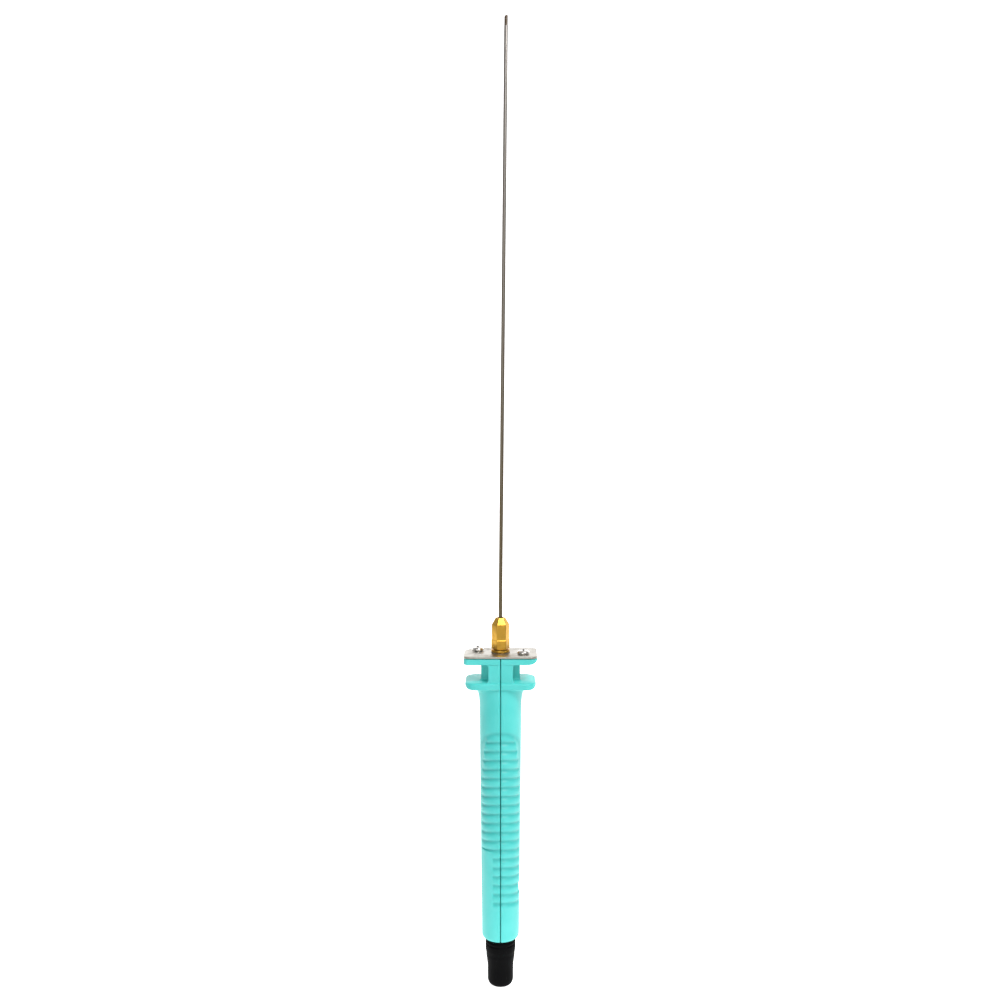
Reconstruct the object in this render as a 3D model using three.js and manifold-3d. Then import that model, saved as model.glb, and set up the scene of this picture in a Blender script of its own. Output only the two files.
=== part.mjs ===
// A hot-wire foam cutting pen: a two-half moulded handle with a necked head, a steel face plate,
// a brass collet that grips a long heated needle, and a power inlet in a rubber boot.
// Millimetres. The pen stands on its boot: +Z runs along it to the needle's tip, and the seam
// between the handle's halves faces -Y and +Y. The origin is the middle of the boot's end.
import * as THREE from "three";
import { mergeVertices } from "three/addons/utils/BufferGeometryUtils.js";
import Module from "manifold-3d";

const wasm = await Module();
wasm.setup();

// ---------------------------------------------------------------- driving dimensions
const gap = 0.3;                     // clearance between pieces that touch
const wireGap = 0.5;                 // clearance round a lead
const roundSides = 32;               // sides of the large round pieces
const overrun = 1;                   // cutting solids reach this far past what they cut
const bite = 0.5;                    // solids that are joined reach this far into each other

// lengths along the pen
const bootDrop = 21;                 // boot below the handle's rim
const handleLength = 123.9;          // rim to the top of the upper flange
const colletStandOut = 15;           // plate to the top of the nut
const needleFreeLength = 250;        // nut to tip
const needlePlugDepth = 49;          // nut down to the end of the contact pin

// handle
const gripTopRadius = 9.0;
const gripFootRadius = 8.05;
const rimCornerRadius = 1.8;
const wall = 1.8;
const seamGap = 0.3;
const rimLip = 1.8;                  // thickness of the lip that holds the boot
const ledge = 1.3;                   // thickness of the inner ledges

// head of the handle: flare, lower flange, neck, upper flange
const flareHeight = 7.6;
const flareReach = 2.5;
const flareTurn = { reach: 0.3, drop: 1.0 };   // where the flare's curve turns outwards
const lowerFlange = { width: 30, depth: 20, corners: [5, 5, 5, 5], thickness: 3.0 };
const neckHeight = 7.9;
const neckBlock = { width: 10.5, depth: 19.4 };
const neckWeb = { width: 16.6, depth: 6.4 };
// corners run from the front +X one, anticlockwise seen from above
const upperFlange = { width: 31.1, depth: 20, corners: [3, 3, 8, 2], thickness: 2.4 };
const upperFlangeSweep = { length: 5, height: 2.1 };   // curve under the upper flange's +X end
const headFloor = 3.6;               // lower flange's top down to the cavity
const flangeBevel = 0.35;

// grip ribs: ring grooves across the front, narrower at the top
const ribPitch = 3.894;
const ribTopDrop = 36.2;             // upper flange's top to the first groove
const ribFootRise = 17.5;            // lowest groove stays this far above the rim
const ribGrooveWidth = 1.5;
const ribGrooveDepth = 0.45;
const ribHalfWidth = 8.0;
const topRibHalfWidth = 6.3;
const ribWidening = 0.85;            // each groove below the top one is this much wider each side
const shortRibHalfWidth = 3.3;       // lower grooves on the -X half stop here
const shortRibDrop = 83.5;           // upper flange's top to where they shorten

// handle screw, driven from +X
const handleScrewRise = 22.2;        // above the rim
const screwShankRadius = 1.2;
const screwHeadRadius = 2.4;
const screwHeadHeight = 1.7;
const screwSink = 1.1;               // head below the handle's surface
const bossWall = 0.9;
const bossSeatFloor = 1.5;           // boss under the head's seat
const handleScrewReach = 5.0;        // shank beyond the seam, into the -X half

// face plate and its screws
const plateThickness = 0.8;
const plateScrewClear = 0.25;        // shank to the side of the neck
const plateScrewY = 3.6;
const panHeadRadius = 2.65;
const panHeadHeight = 1.5;
const panCrownShare = 0.8;           // crown's share of a pan head's height
const screwPoint = { share: 0.4, length: 1.2 };   // blunt point of a screw's shank
const plateScrewTip = 1.3;           // tip below the upper flange
const crossWidth = 0.6;
const crossDepth = 0.9;
const crossReachShare = 0.62;        // cross recess's reach as a share of the head's radius

// collet
const needleRadius = 0.8;
const jawsWall = 0.6;
const jawsShankLength = 10.3;
const jawsHeadRadius = 2.45;
const jawsHeadHeight = 3.3;
const jawsSlot = 0.5;
const jawsTopSlack = 0.05;           // extra clearance at the top of the jaws
const stemWall = 0.6;
const stemNeedleClear = 0.4;         // stem's narrow bore round the needle
const stemBelowHead = 6.5;           // stem below the cavity's ceiling
const ringRadius = 3.95;
const ringHeight = 1.1;
const nutCornerRadius = 3.95;
const nutUpperCornerRadius = 3.8;
const nutStep = 3.8;                 // height of the nut's wider foot
const nutStepBevel = 0.2;
const nutConeHeight = 2.9;
const nutNoseCornerRadius = 2.1;
const nutNoseBore = 1.3;
const nutThroatDepth = 5.0;          // depth of the cone inside the nut
const nutTurnDegrees = 5.9;          // one corner of the hexagon from +X
const bushWall = 0.7;
const locknutCornerRadius = 4.2;
const locknutHeight = 3.5;
const tagThickness = 0.8;
const tagWidth = 2.6;

// needle
const needleBore = 0.55;
const coreRadius = 0.25;
const contactPinLength = 8;
const contactPinNose = { share: 0.5, length: 0.8 };   // tapered end of the contact pin
const insulatorLength = 7.4;
const tipLength = 3.8;
const tipRadius = 0.72;
const tipCut = { degrees: 38, depth: 0.5, height: 2, reach: 3 };   // slanting cut at the tip
const bendStart = 3;                 // above the nut
const bendLength = 14;
const needleSlope = 0.0096;          // lean towards +X above the bend

// contact socket and holder
const socketWall = 0.7;
const socketLength = 11;
const socketFloor = 1.5;
const socketFloorClear = 0.5;        // contact pin's end to the socket's floor
const socketCollar = { radius: 2.8, height: 0.7 };
const holderHeight = 6;
const holderRise = 1.0;              // above the socket's foot

// boot
const bootEndRound = 0.8;
const bootWall = 1.0;                // round the jack, at the waist
const bootNeckWall = 0.9;            // where the handle's lip grips it
const bootShoulder = 0.85;           // how far the shoulder stands out past the lip's opening
const bootFlangeReach = 0.4;         // how far the inner flange stands out past it
const bootFlangeHeight = 2.6;
const bootMouth = 7.5;               // depth of the mouth in front of the jack
const bootWaistDrop = 1.0;           // the waist ends this far below the mouth's depth
const bootTaperShare = 0.72;         // part of the taper done half way up it
const bootNotch = 0.45;
const bootNotchPitch = 2.2;
const bootNotchDrop = 1.6;           // rim to the upper notch

// power jack
const plugEntry = 0.4;               // boot's mouth is this much wider than the jack's sleeve
const sleeveInner = 2.8;             // takes the plug's barrel
const sleeveWall = 0.3;
const jackWall = 0.8;
const jackBoreDepth = 9.7;
const jackFlangeHeight = 2.0;
const jackTail = 2.0;                // body above its flange
const jackPinRadius = 1.05;
const jackPinTailRadius = 0.8;
const jackPinSetback = 1.7;
const jackPinNose = { share: 0.6, length: 0.6 };   // tapered end of the centre pin
const sleeveSetback = 0.8;
const tabHalfWidth = 0.7;
const tabInset = { inner: 0.05, outer: 0.02 };   // tab's faces inside the sleeve's
const tabRoot = 2.0;                 // tab's reach down into the sleeve
const tabSlotRelief = 0.1;           // tab's slot below the jack's floor
const terminalRise = 3.0;            // terminals above the jack's back

// leads
const leadRadius = 0.7;
const leadOffset = 4.2;              // from the axis, past the screw boss and the ledges
const leadStub = 1.2;                // upright end of a lead
const leadPastBoss = { below: 4, above: 5 };      // upright run past the screw boss
const liveLeadBend = 14;             // socket down to where the live lead bends
const leadPastHolder = { below: 3, above: 2 };    // upright run past the contact holder
const leadPastLocknut = 1;           // return lead is upright this far below the locknut

// ---------------------------------------------------------------- heights worked out from them
const rimZ = bootDrop;
const handleTopZ = rimZ + handleLength;
const plateBottomZ = handleTopZ + gap;
const plateTopZ = plateBottomZ + plateThickness;
const nutTopZ = plateTopZ + colletStandOut;
const tipZ = nutTopZ + needleFreeLength;
const neckTopZ = handleTopZ - upperFlange.thickness;
const neckFootZ = neckTopZ - neckHeight;
const flareTopZ = neckFootZ - lowerFlange.thickness;
const flareFootZ = flareTopZ - flareHeight;
const ceilingZ = neckFootZ - headFloor;
const handleScrewZ = rimZ + handleScrewRise;

const pinFootZ = nutTopZ - needlePlugDepth;
const pinTopZ = pinFootZ + contactPinLength;
const insulatorFootZ = pinTopZ + gap;
const insulatorTopZ = insulatorFootZ + insulatorLength;
const tubeFootZ = insulatorTopZ + gap;
const tipFootZ = tipZ - tipLength;
const tubeTopZ = tipFootZ - gap;

const socketFootZ = pinFootZ - socketFloorClear - socketFloor;
const socketTopZ = socketFootZ + socketLength;
const holderFootZ = socketFootZ + holderRise;
const holderTopZ = holderFootZ + holderHeight;

const jackFrontZ = bootMouth + gap;
const lipTopZ = rimZ + rimLip;
const bootFlangeFootZ = lipTopZ + gap;
const bootTopZ = bootFlangeFootZ + bootFlangeHeight;
const jackFlangeFootZ = bootTopZ + gap;
const jackFlangeTopZ = jackFlangeFootZ + jackFlangeHeight;
const jackBackZ = jackFlangeTopZ + jackTail;
const jackFloorZ = jackFrontZ + jackBoreDepth;
const jackPinFrontZ = jackFrontZ + jackPinSetback;
const terminalTopZ = jackBackZ + terminalRise;

const ringFootZ = plateTopZ + gap;
const ringTopZ = ringFootZ + ringHeight;
const nutFootZ = ringTopZ + gap;
const throatZ = nutTopZ - nutThroatDepth;
const stemFootZ = ceilingZ - stemBelowHead;
const stemTopZ = throatZ;
const jawsHeadZ = stemTopZ + gap;
const jawsFootZ = jawsHeadZ - jawsShankLength;
const jawsTopZ = jawsHeadZ + jawsHeadHeight;

// radii worked out from the needle outwards
const jawsBore = needleRadius + gap;
const jawsRadius = jawsBore + jawsWall;
const stemBore = jawsRadius + gap;
const stemRadius = stemBore + stemWall;
const nutBore = stemRadius + gap;
const bushInner = stemRadius + gap;
const bushOuter = bushInner + bushWall;
const headBore = bushOuter + gap;
const socketBore = needleRadius + gap;
const socketRadius = socketBore + socketWall;

// radii worked out from the jack's sleeve outwards
const sleeveOuter = sleeveInner + sleeveWall;
const jackBore = sleeveOuter + gap;
const jackRadius = jackBore + jackWall;
const bootBore = sleeveInner + plugEntry;
const bootInner = jackRadius + gap;
const bootWaistRadius = bootInner + bootWall;
const bootNeckRadius = bootInner + bootNeckWall;
const lipRadius = bootNeckRadius + gap;
const bootTopRadius = lipRadius + bootShoulder;
const bootFlangeRadius = lipRadius + bootFlangeReach;

const plateScrewX = neckWeb.width / 2 + screwShankRadius + plateScrewClear;

// ---------------------------------------------------------------- solids
/** Turns a closed three.js geometry into a solid that can be joined and cut. */
function toSolid(geometry) {
  const bare = new THREE.BufferGeometry();
  bare.setAttribute("position", geometry.getAttribute("position"));
  bare.setIndex(geometry.getIndex());
  const merged = mergeVertices(bare, 1e-4);
  const corners = merged.getIndex().array;
  const kept = [];
  for (let i = 0; i < corners.length; i += 3) {
    const [a, b, c] = corners.slice(i, i + 3);
    if (a !== b && b !== c && c !== a) kept.push(a, b, c);
  }
  return new wasm.Manifold(new wasm.Mesh({
    numProp: 3,
    vertProperties: new Float32Array(merged.getAttribute("position").array),
    triVerts: new Uint32Array(kept),
  }));
}

/** Turns a solid back into a three.js geometry. */
function toGeometry(solid) {
  const mesh = solid.getMesh();
  const geometry = new THREE.BufferGeometry();
  geometry.setAttribute("position", new THREE.BufferAttribute(new Float32Array(mesh.vertProperties), 3));
  geometry.setIndex(new THREE.BufferAttribute(new Uint32Array(mesh.triVerts), 1));
  geometry.computeVertexNormals();
  return geometry;
}

/** A round solid about Z from [radius, z] points, which run up the outside (and down any bore). */
function turned(points, segments = 24) {
  const outline = points.map(([r, z]) => new THREE.Vector2(r, z));
  if (points[0][0] > 0) outline.push(outline[0].clone());
  return toSolid(new THREE.LatheGeometry(outline, segments).rotateX(Math.PI / 2));
}

/** A plain round rod or hole about Z. */
function rod(radius, fromZ, toZ, segments = 24) {
  return turned([[0, fromZ], [radius, fromZ], [radius, toZ], [0, toZ]], segments);
}

/** A round sleeve about Z. */
function sleeve(outer, inner, fromZ, toZ, segments = 24) {
  return turned([[outer, fromZ], [outer, toZ], [inner, toZ], [inner, fromZ]], segments);
}

/** A block between two corners. */
function block(low, high) {
  const size = high.map((value, i) => value - low[i]);
  const box = new THREE.BoxGeometry(...size);
  return toSolid(box.translate(...low.map((value, i) => value + size[i] / 2)));
}

/** A flat shape in X and Y, raised from one height to another. */
function raised(shape, fromZ, toZ, bevel = 0) {
  const depth = toZ - fromZ - 2 * bevel;
  const settings = {
    depth,
    bevelEnabled: bevel > 0,
    bevelThickness: bevel,
    bevelSize: bevel,
    bevelOffset: -bevel,
    bevelSegments: 1,
    curveSegments: 6,
  };
  return toSolid(new THREE.ExtrudeGeometry(shape, settings).translate(0, 0, fromZ + bevel));
}

/** A rectangle with a radius for each corner, centred on the axis. */
function roundedRectangle({ width, depth, corners }) {
  const shape = new THREE.Shape();
  const signs = [[1, -1], [1, 1], [-1, 1], [-1, -1]];
  signs.forEach(([signX, signY], i) => {
    const centreX = signX * (width / 2 - corners[i]);
    const centreY = signY * (depth / 2 - corners[i]);
    const start = ((i - 1) * Math.PI) / 2;
    shape.absarc(centreX, centreY, corners[i], start, start + Math.PI / 2);
  });
  shape.closePath();
  return shape;
}

/** Points of a circular arc in the [radius, z] plane, angles in degrees. */
function arcPoints(centre, radius, fromDegrees, toDegrees, steps) {
  const points = [];
  for (let i = 0; i <= steps; i += 1) {
    const angle = THREE.MathUtils.degToRad(fromDegrees + ((toDegrees - fromDegrees) * i) / steps);
    points.push([centre[0] + radius * Math.cos(angle), centre[1] + radius * Math.sin(angle)]);
  }
  return points;
}

/** A round rod or tube along a curve. */
function alongCurve(curve, radius, innerRadius, steps, sides) {
  const shape = new THREE.Shape();
  shape.absarc(0, 0, radius, 0, 2 * Math.PI);
  if (innerRadius > 0) {
    const hole = new THREE.Path();
    hole.absarc(0, 0, innerRadius, 0, 2 * Math.PI, true);
    shape.holes.push(hole);
  }
  return toSolid(new THREE.ExtrudeGeometry(shape, {
    steps,
    extrudePath: curve,
    curveSegments: sides,
    bevelEnabled: false,
  }));
}

// ---------------------------------------------------------------- the finished pieces
const pen = new THREE.Group();

const finishes = {
  teal: { color: 0x33b3ad, roughness: 0.45, metalness: 0 },
  steel: { color: 0xb4aca2, roughness: 0.4, metalness: 1 },
  brass: { color: 0xd0a24a, roughness: 0.35, metalness: 1 },
  browned: { color: 0x6b5a48, roughness: 0.6, metalness: 1 },
  rubber: { color: 0x141414, roughness: 0.8, metalness: 0 },
  blackPlastic: { color: 0x1c1c1e, roughness: 0.5, metalness: 0 },
  cream: { color: 0xe6ddc8, roughness: 0.6, metalness: 0 },
  copper: { color: 0xb87348, roughness: 0.45, metalness: 1 },
  redInsulation: { color: 0xa32a22, roughness: 0.55, metalness: 0 },
  blackInsulation: { color: 0x1a1a1a, roughness: 0.55, metalness: 0 },
};

function addPiece(name, solid, finish) {
  const mesh = new THREE.Mesh(toGeometry(solid), new THREE.MeshStandardMaterial(finishes[finish]));
  mesh.name = name;
  pen.add(mesh);
  return mesh;
}

// ---------------------------------------------------------------- handle
/** Outer radius of the tapered grip at a height. */
function gripRadius(z) {
  const share = (z - rimZ - rimCornerRadius) / (flareFootZ - rimZ - rimCornerRadius);
  return THREE.MathUtils.lerp(gripFootRadius, gripTopRadius, THREE.MathUtils.clamp(share, 0, 1));
}

const cavityRadius = (z) => gripRadius(z) - wall;

/** Grip and flare in one turned piece, trimmed to the lower flange's outline. */
function gripSolid() {
  const corner = arcPoints(
    [gripFootRadius - rimCornerRadius, rimZ + rimCornerRadius], rimCornerRadius, -90, 0, 5);
  const flare = new THREE.QuadraticBezierCurve(
    new THREE.Vector2(gripTopRadius, flareFootZ),
    new THREE.Vector2(gripTopRadius + flareTurn.reach, flareTopZ - flareTurn.drop),
    new THREE.Vector2(gripTopRadius + flareReach, flareTopZ),
  ).getPoints(5).map((point) => [point.x, point.y]);
  const flareEndZ = flareTopZ + flangeBevel;
  const outline = [[0, rimZ], ...corner, ...flare,
    [gripTopRadius + flareReach, flareEndZ], [0, flareEndZ]];
  const flangePrism = raised(roundedRectangle(lowerFlange), rimZ - overrun, flareEndZ + overrun);
  return turned(outline, roundSides).intersect(flangePrism);
}

/** Flanges and the neck between them. */
function headSolid() {
  const bar = ({ width, depth }) => block(
    [-width / 2, -depth / 2, neckFootZ - bite], [width / 2, depth / 2, neckTopZ + bite]);
  const upper = raised(roundedRectangle(upperFlange), neckTopZ, handleTopZ, flangeBevel);
  return raised(roundedRectangle(lowerFlange), flareTopZ, neckFootZ, flangeBevel)
    .add(bar(neckBlock))
    .add(bar(neckWeb))
    .add(upper.subtract(sweepCutter()));
}

/** What the curve under the upper flange's +X end takes away. */
function sweepCutter() {
  const endX = upperFlange.width / 2;
  const { length, height } = upperFlangeSweep;
  const shape = new THREE.Shape();
  shape.moveTo(endX + overrun, neckTopZ - overrun);
  shape.lineTo(endX + overrun, neckTopZ + height);
  shape.absellipse(endX - length, neckTopZ + height, length, height, 0, -Math.PI / 2, true);
  shape.lineTo(endX - length, neckTopZ - overrun);
  const bar = new THREE.ExtrudeGeometry(shape, {
    depth: upperFlange.depth + 2 * overrun, bevelEnabled: false, curveSegments: 6,
  });
  return toSolid(bar.rotateX(Math.PI / 2).translate(0, upperFlange.depth / 2 + overrun, 0));
}

/** The hollow of the handle, with ledges that hold the boot, the jack and the contact holder. */
function cavitySolid() {
  const pocketTopZ = jackFlangeTopZ + gap;
  const jackLedgeTopZ = pocketTopZ + ledge;
  const lowLedgeTopZ = holderFootZ - gap;
  const lowLedgeFootZ = lowLedgeTopZ - ledge;
  const highLedgeFootZ = holderTopZ + gap;
  const highLedgeTopZ = highLedgeFootZ + ledge;
  const pocketRadius = bootFlangeRadius + gap;
  const ledgeRadius = leadOffset + leadRadius + gap;
  const steps = [
    [lipRadius, rimZ - overrun], [lipRadius, lipTopZ],
    [pocketRadius, lipTopZ], [pocketRadius, pocketTopZ],
    [jackRadius + 2 * gap, pocketTopZ], [jackRadius + 2 * gap, jackLedgeTopZ],
    [cavityRadius(jackLedgeTopZ), jackLedgeTopZ],
    [cavityRadius(lowLedgeFootZ), lowLedgeFootZ],
    [ledgeRadius, lowLedgeFootZ], [ledgeRadius, lowLedgeTopZ],
    [cavityRadius(lowLedgeTopZ), lowLedgeTopZ],
    [cavityRadius(highLedgeFootZ), highLedgeFootZ],
    [ledgeRadius, highLedgeFootZ], [ledgeRadius, highLedgeTopZ],
    [cavityRadius(highLedgeTopZ), highLedgeTopZ],
    [cavityRadius(flareFootZ), flareFootZ],
    [cavityRadius(flareFootZ), ceilingZ],
  ];
  return turned([[0, rimZ - overrun], ...steps, [0, ceilingZ]])
    .add(rod(headBore, ceilingZ - overrun, handleTopZ + overrun));
}

/** A rod lying along X. */
function crossRod(radius, fromX, toX, z, segments = 24) {
  const upright = rod(radius, fromX, toX, segments);
  return upright.rotate([0, 90, 0]).translate([0, 0, z]);
}

const counterboreRadius = screwHeadRadius + 2 * gap;
const screwHeadTopX = gripRadius(handleScrewZ) - screwSink;
const screwSeatX = screwHeadTopX - screwHeadHeight - gap;

/** Screw bosses inside the handle, kept within its wall. */
function bossSolid() {
  const boss = screwShankRadius + gap + bossWall;
  const seat = counterboreRadius + bossWall;
  const wallX = cavityRadius(handleScrewZ) + wall / 2;
  return crossRod(boss, -wallX, wallX, handleScrewZ)
    .add(crossRod(seat, screwSeatX - bossSeatFloor, wallX, handleScrewZ))
    .intersect(rod(cavityRadius(handleScrewZ) + wall / 2, rimZ, ceilingZ));
}

/** Holes for the handle screw. */
function handleScrewHole() {
  return crossRod(screwShankRadius + gap, -handleScrewReach - 2 * gap, screwSeatX + overrun, handleScrewZ)
    .add(crossRod(counterboreRadius, screwSeatX, gripTopRadius + 3 * overrun, handleScrewZ));
}

/** Grip grooves: V-shaped rings, each kept to its width on the front. */
function gripGrooves() {
  const reach = gripTopRadius + 2 * overrun;
  const ring = (z) => {
    const skin = gripRadius(z);
    const half = ribGrooveWidth / 2;
    const mouth = (half * (reach - skin + ribGrooveDepth)) / ribGrooveDepth;
    return turned([[skin - ribGrooveDepth, z], [reach, z - mouth], [reach, z + mouth]], roundSides);
  };
  const topZ = handleTopZ - ribTopDrop;
  const count = Math.floor((handleLength - ribTopDrop - ribFootRise) / ribPitch) + 1;
  const shortZ = handleTopZ - shortRibDrop;
  let grooves = null;
  for (let i = 0; i < count; i += 1) {
    const z = topZ - i * ribPitch;
    const right = Math.min(ribHalfWidth, topRibHalfWidth + i * ribWidening);
    const left = z < shortZ ? shortRibHalfWidth : right;
    const window = block([-left, -reach, z - ribPitch], [right, 0, z + ribPitch]);
    const groove = ring(z).intersect(window);
    grooves = grooves ? grooves.add(groove) : groove;
  }
  return grooves;
}

/** The handle's shape before it is split. */
function handleSolid() {
  const plateScrewHole = (sign) => rod(screwShankRadius + gap, neckTopZ - overrun, handleTopZ + overrun, 20)
    .translate([sign * plateScrewX, -sign * plateScrewY, 0]);
  return gripSolid()
    .add(headSolid())
    .subtract(cavitySolid())
    .add(bossSolid())
    .subtract(handleScrewHole())
    .subtract(plateScrewHole(1))
    .subtract(plateScrewHole(-1))
    .subtract(gripGrooves());
}

const handle = handleSolid();
const halfSpace = (sign) => {
  const reach = lowerFlange.width;
  const edges = [(sign * seamGap) / 2, sign * reach].sort((a, b) => a - b);
  return block([edges[0], -reach, rimZ - overrun], [edges[1], reach, handleTopZ + overrun]);
};
addPiece("left_handle_shell", handle.intersect(halfSpace(-1)), "teal");
addPiece("right_handle_shell", handle.intersect(halfSpace(1)), "teal");

// ---------------------------------------------------------------- screws
/** A cross recess cut down from a height. */
function crossRecess(topZ, depth, reach) {
  const half = crossWidth / 2;
  const bar = (x, y) => block([-x, -y, topZ - depth], [x, y, topZ + overrun]);
  return bar(reach, half).add(bar(half, reach));
}

/** A pan-head screw standing on z = 0, its shank below. */
function panScrew(headRadius, headHeight, shankLength) {
  const crownRadius = headHeight * panCrownShare;
  const crown = arcPoints([headRadius - crownRadius, headHeight - crownRadius], crownRadius, 0, 90, 4);
  const outline = [
    [0, -shankLength], [screwShankRadius * screwPoint.share, -shankLength],
    [screwShankRadius, screwPoint.length - shankLength],
    [screwShankRadius, 0], [headRadius, 0], ...crown, [0, headHeight],
  ];
  return turned(outline, 16).subtract(crossRecess(headHeight, crossDepth, headRadius * crossReachShare));
}

const plateScrewLength = ringFootZ - neckTopZ + plateScrewTip;
for (const [name, sign] of [["plate_screw_front_right", 1], ["plate_screw_rear_left", -1]]) {
  const screw = addPiece(name, panScrew(panHeadRadius, panHeadHeight, plateScrewLength), "steel");
  screw.position.set(sign * plateScrewX, -sign * plateScrewY, plateTopZ + gap);
}

const handleScrewLength = screwSeatX + gap + handleScrewReach;
const handleScrew = addPiece(
  "handle_screw", panScrew(screwHeadRadius, screwHeadHeight, handleScrewLength), "steel");
handleScrew.position.set(screwSeatX + gap, 0, handleScrewZ);
handleScrew.rotation.y = Math.PI / 2;

// ---------------------------------------------------------------- face plate
const plateShape = roundedRectangle(upperFlange);
const facePlate = [1, -1].reduce(
  (plate, sign) => plate.subtract(rod(screwShankRadius + gap, plateBottomZ - overrun, plateTopZ + overrun, 20)
    .translate([sign * plateScrewX, -sign * plateScrewY, 0])),
  raised(plateShape, plateBottomZ, plateTopZ).subtract(rod(headBore, plateBottomZ - overrun, plateTopZ + overrun)),
);
addPiece("face_plate", facePlate, "steel");

// ---------------------------------------------------------------- collet
const needleHole = needleRadius + stemNeedleClear;
addPiece("collet_body", turned([
  [needleHole, stemFootZ], [stemRadius, stemFootZ], [stemRadius, ringFootZ],
  [ringRadius, ringFootZ], [ringRadius, ringTopZ], [stemRadius, ringTopZ],
  [stemRadius, stemTopZ], [stemBore, stemTopZ], [stemBore, jawsFootZ - gap], [needleHole, jawsFootZ - gap],
]), "brass");

/** Six-sided solid about Z, with a corner turned from +X by some degrees. */
function hexagonal(points, degrees) {
  return turned(points, 6).rotate([0, 0, 90 + degrees]);
}

const nutOutside = hexagonal([
  [0, nutFootZ], [nutCornerRadius, nutFootZ], [nutCornerRadius, nutFootZ + nutStep],
  [nutUpperCornerRadius, nutFootZ + nutStep + nutStepBevel], [nutUpperCornerRadius, nutTopZ - nutConeHeight],
  [nutNoseCornerRadius, nutTopZ], [0, nutTopZ],
], nutTurnDegrees);
const nutInside = turned([
  [0, nutFootZ - overrun], [nutBore, nutFootZ - overrun], [nutBore, throatZ],
  [nutNoseBore, nutTopZ], [nutNoseBore, nutTopZ + overrun], [0, nutTopZ + overrun],
]);
addPiece("collet_nut", nutOutside.subtract(nutInside), "brass");

const throatAt = (z) => THREE.MathUtils.lerp(nutBore, nutNoseBore, (z - throatZ) / nutThroatDepth);
const slot = (x, y) => block([-x, -y, jawsFootZ + jawsShankLength / 3], [x, y, jawsTopZ + overrun]);
const jaws = turned([
  [jawsBore, jawsFootZ], [jawsRadius, jawsFootZ], [jawsRadius, jawsHeadZ],
  [Math.min(jawsHeadRadius, throatAt(jawsHeadZ) - gap), jawsHeadZ],
  [throatAt(jawsTopZ) - gap - jawsTopSlack, jawsTopZ], [jawsBore, jawsTopZ],
]);
addPiece("collet_jaws", jaws
  .subtract(slot(jawsSlot / 2, nutBore))
  .subtract(slot(nutBore, jawsSlot / 2)), "brass");

addPiece("insulating_bush", sleeve(bushOuter, bushInner, ceilingZ, plateTopZ), "cream");

const tagTopZ = ceilingZ - gap;
const tagFootZ = tagTopZ - tagThickness;
const headCavityRadius = cavityRadius(flareFootZ);
const tagEar = block(
  [-tagWidth / 2, stemRadius + 2 * gap, tagFootZ], [tagWidth / 2, headCavityRadius - 2 * gap, tagTopZ]);
addPiece("solder_tag", sleeve(locknutCornerRadius, stemRadius + gap, tagFootZ, tagTopZ).add(tagEar), "copper");

const locknutTopZ = tagFootZ - gap;
const locknutFootZ = locknutTopZ - locknutHeight;
addPiece("collet_locknut", hexagonal([
  [0, locknutFootZ], [locknutCornerRadius, locknutFootZ], [locknutCornerRadius, locknutTopZ], [0, locknutTopZ],
], 0).subtract(rod(stemRadius + gap, locknutFootZ - overrun, locknutTopZ + overrun)), "brass");

// ---------------------------------------------------------------- needle
const bendFootZ = nutTopZ + bendStart;

/** Offset of the needle's centre line towards +X at a height. */
function needleLean(z) {
  const above = Math.max(0, z - bendFootZ);
  const inBend = Math.min(above, bendLength);
  return (needleSlope * inBend * inBend) / (2 * bendLength) + needleSlope * (above - inBend);
}

/** The needle's centre line between two heights: upright in the collet, leaning above it. */
class NeedleLine extends THREE.Curve {
  constructor(fromZ, toZ) {
    super();
    this.fromZ = fromZ;
    this.toZ = toZ;
  }

  getPoint(share, target = new THREE.Vector3()) {
    const z = THREE.MathUtils.lerp(this.fromZ, this.toZ, share);
    return target.set(needleLean(z), 0, z);
  }
}

addPiece("needle_tube", alongCurve(new NeedleLine(tubeFootZ, tubeTopZ), needleRadius, needleBore, 16, 6), "steel");
addPiece("needle_core", alongCurve(new NeedleLine(insulatorFootZ, tubeTopZ), coreRadius, 0, 16, 3), "copper");
addPiece("needle_insulator", sleeve(needleRadius, needleBore, insulatorFootZ, insulatorTopZ, 16), "cream");
addPiece("needle_contact_pin", turned([
  [0, pinFootZ], [needleRadius * contactPinNose.share, pinFootZ],
  [needleRadius, pinFootZ + contactPinNose.length],
  [needleRadius, pinTopZ], [0, pinTopZ],
], 16), "brass");

const tipRod = alongCurve(new NeedleLine(tipFootZ, tipZ), tipRadius, 0, 1, 6);
const tipNotch = block([-tipCut.reach, -tipCut.reach, 0], [tipCut.reach, tipCut.reach, tipCut.height])
  .rotate([0, -tipCut.degrees, 0])
  .translate([needleLean(tipZ) - tipRadius, 0, tipZ - tipCut.depth]);
addPiece("needle_tip", tipRod.subtract(tipNotch), "browned");

// ---------------------------------------------------------------- contact socket and holder
addPiece("contact_socket", turned([
  [0, socketFootZ], [socketCollar.radius, socketFootZ],
  [socketCollar.radius, socketFootZ + socketCollar.height], [socketRadius, socketFootZ + socketCollar.height],
  [socketRadius, socketTopZ], [socketBore, socketTopZ], [socketBore, socketFootZ + socketFloor],
  [0, socketFootZ + socketFloor],
]), "brass");

const holderRadius = cavityRadius(holderFootZ) - gap;
const leadNotch = leadRadius + wireGap;
const holderNotch = block(
  [-leadNotch, leadOffset - leadNotch, holderFootZ - overrun], [leadNotch, gripTopRadius, holderTopZ + overrun]);
addPiece("contact_holder", sleeve(holderRadius, socketRadius + gap, holderFootZ, holderTopZ)
  .subtract(holderNotch), "cream");

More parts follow.
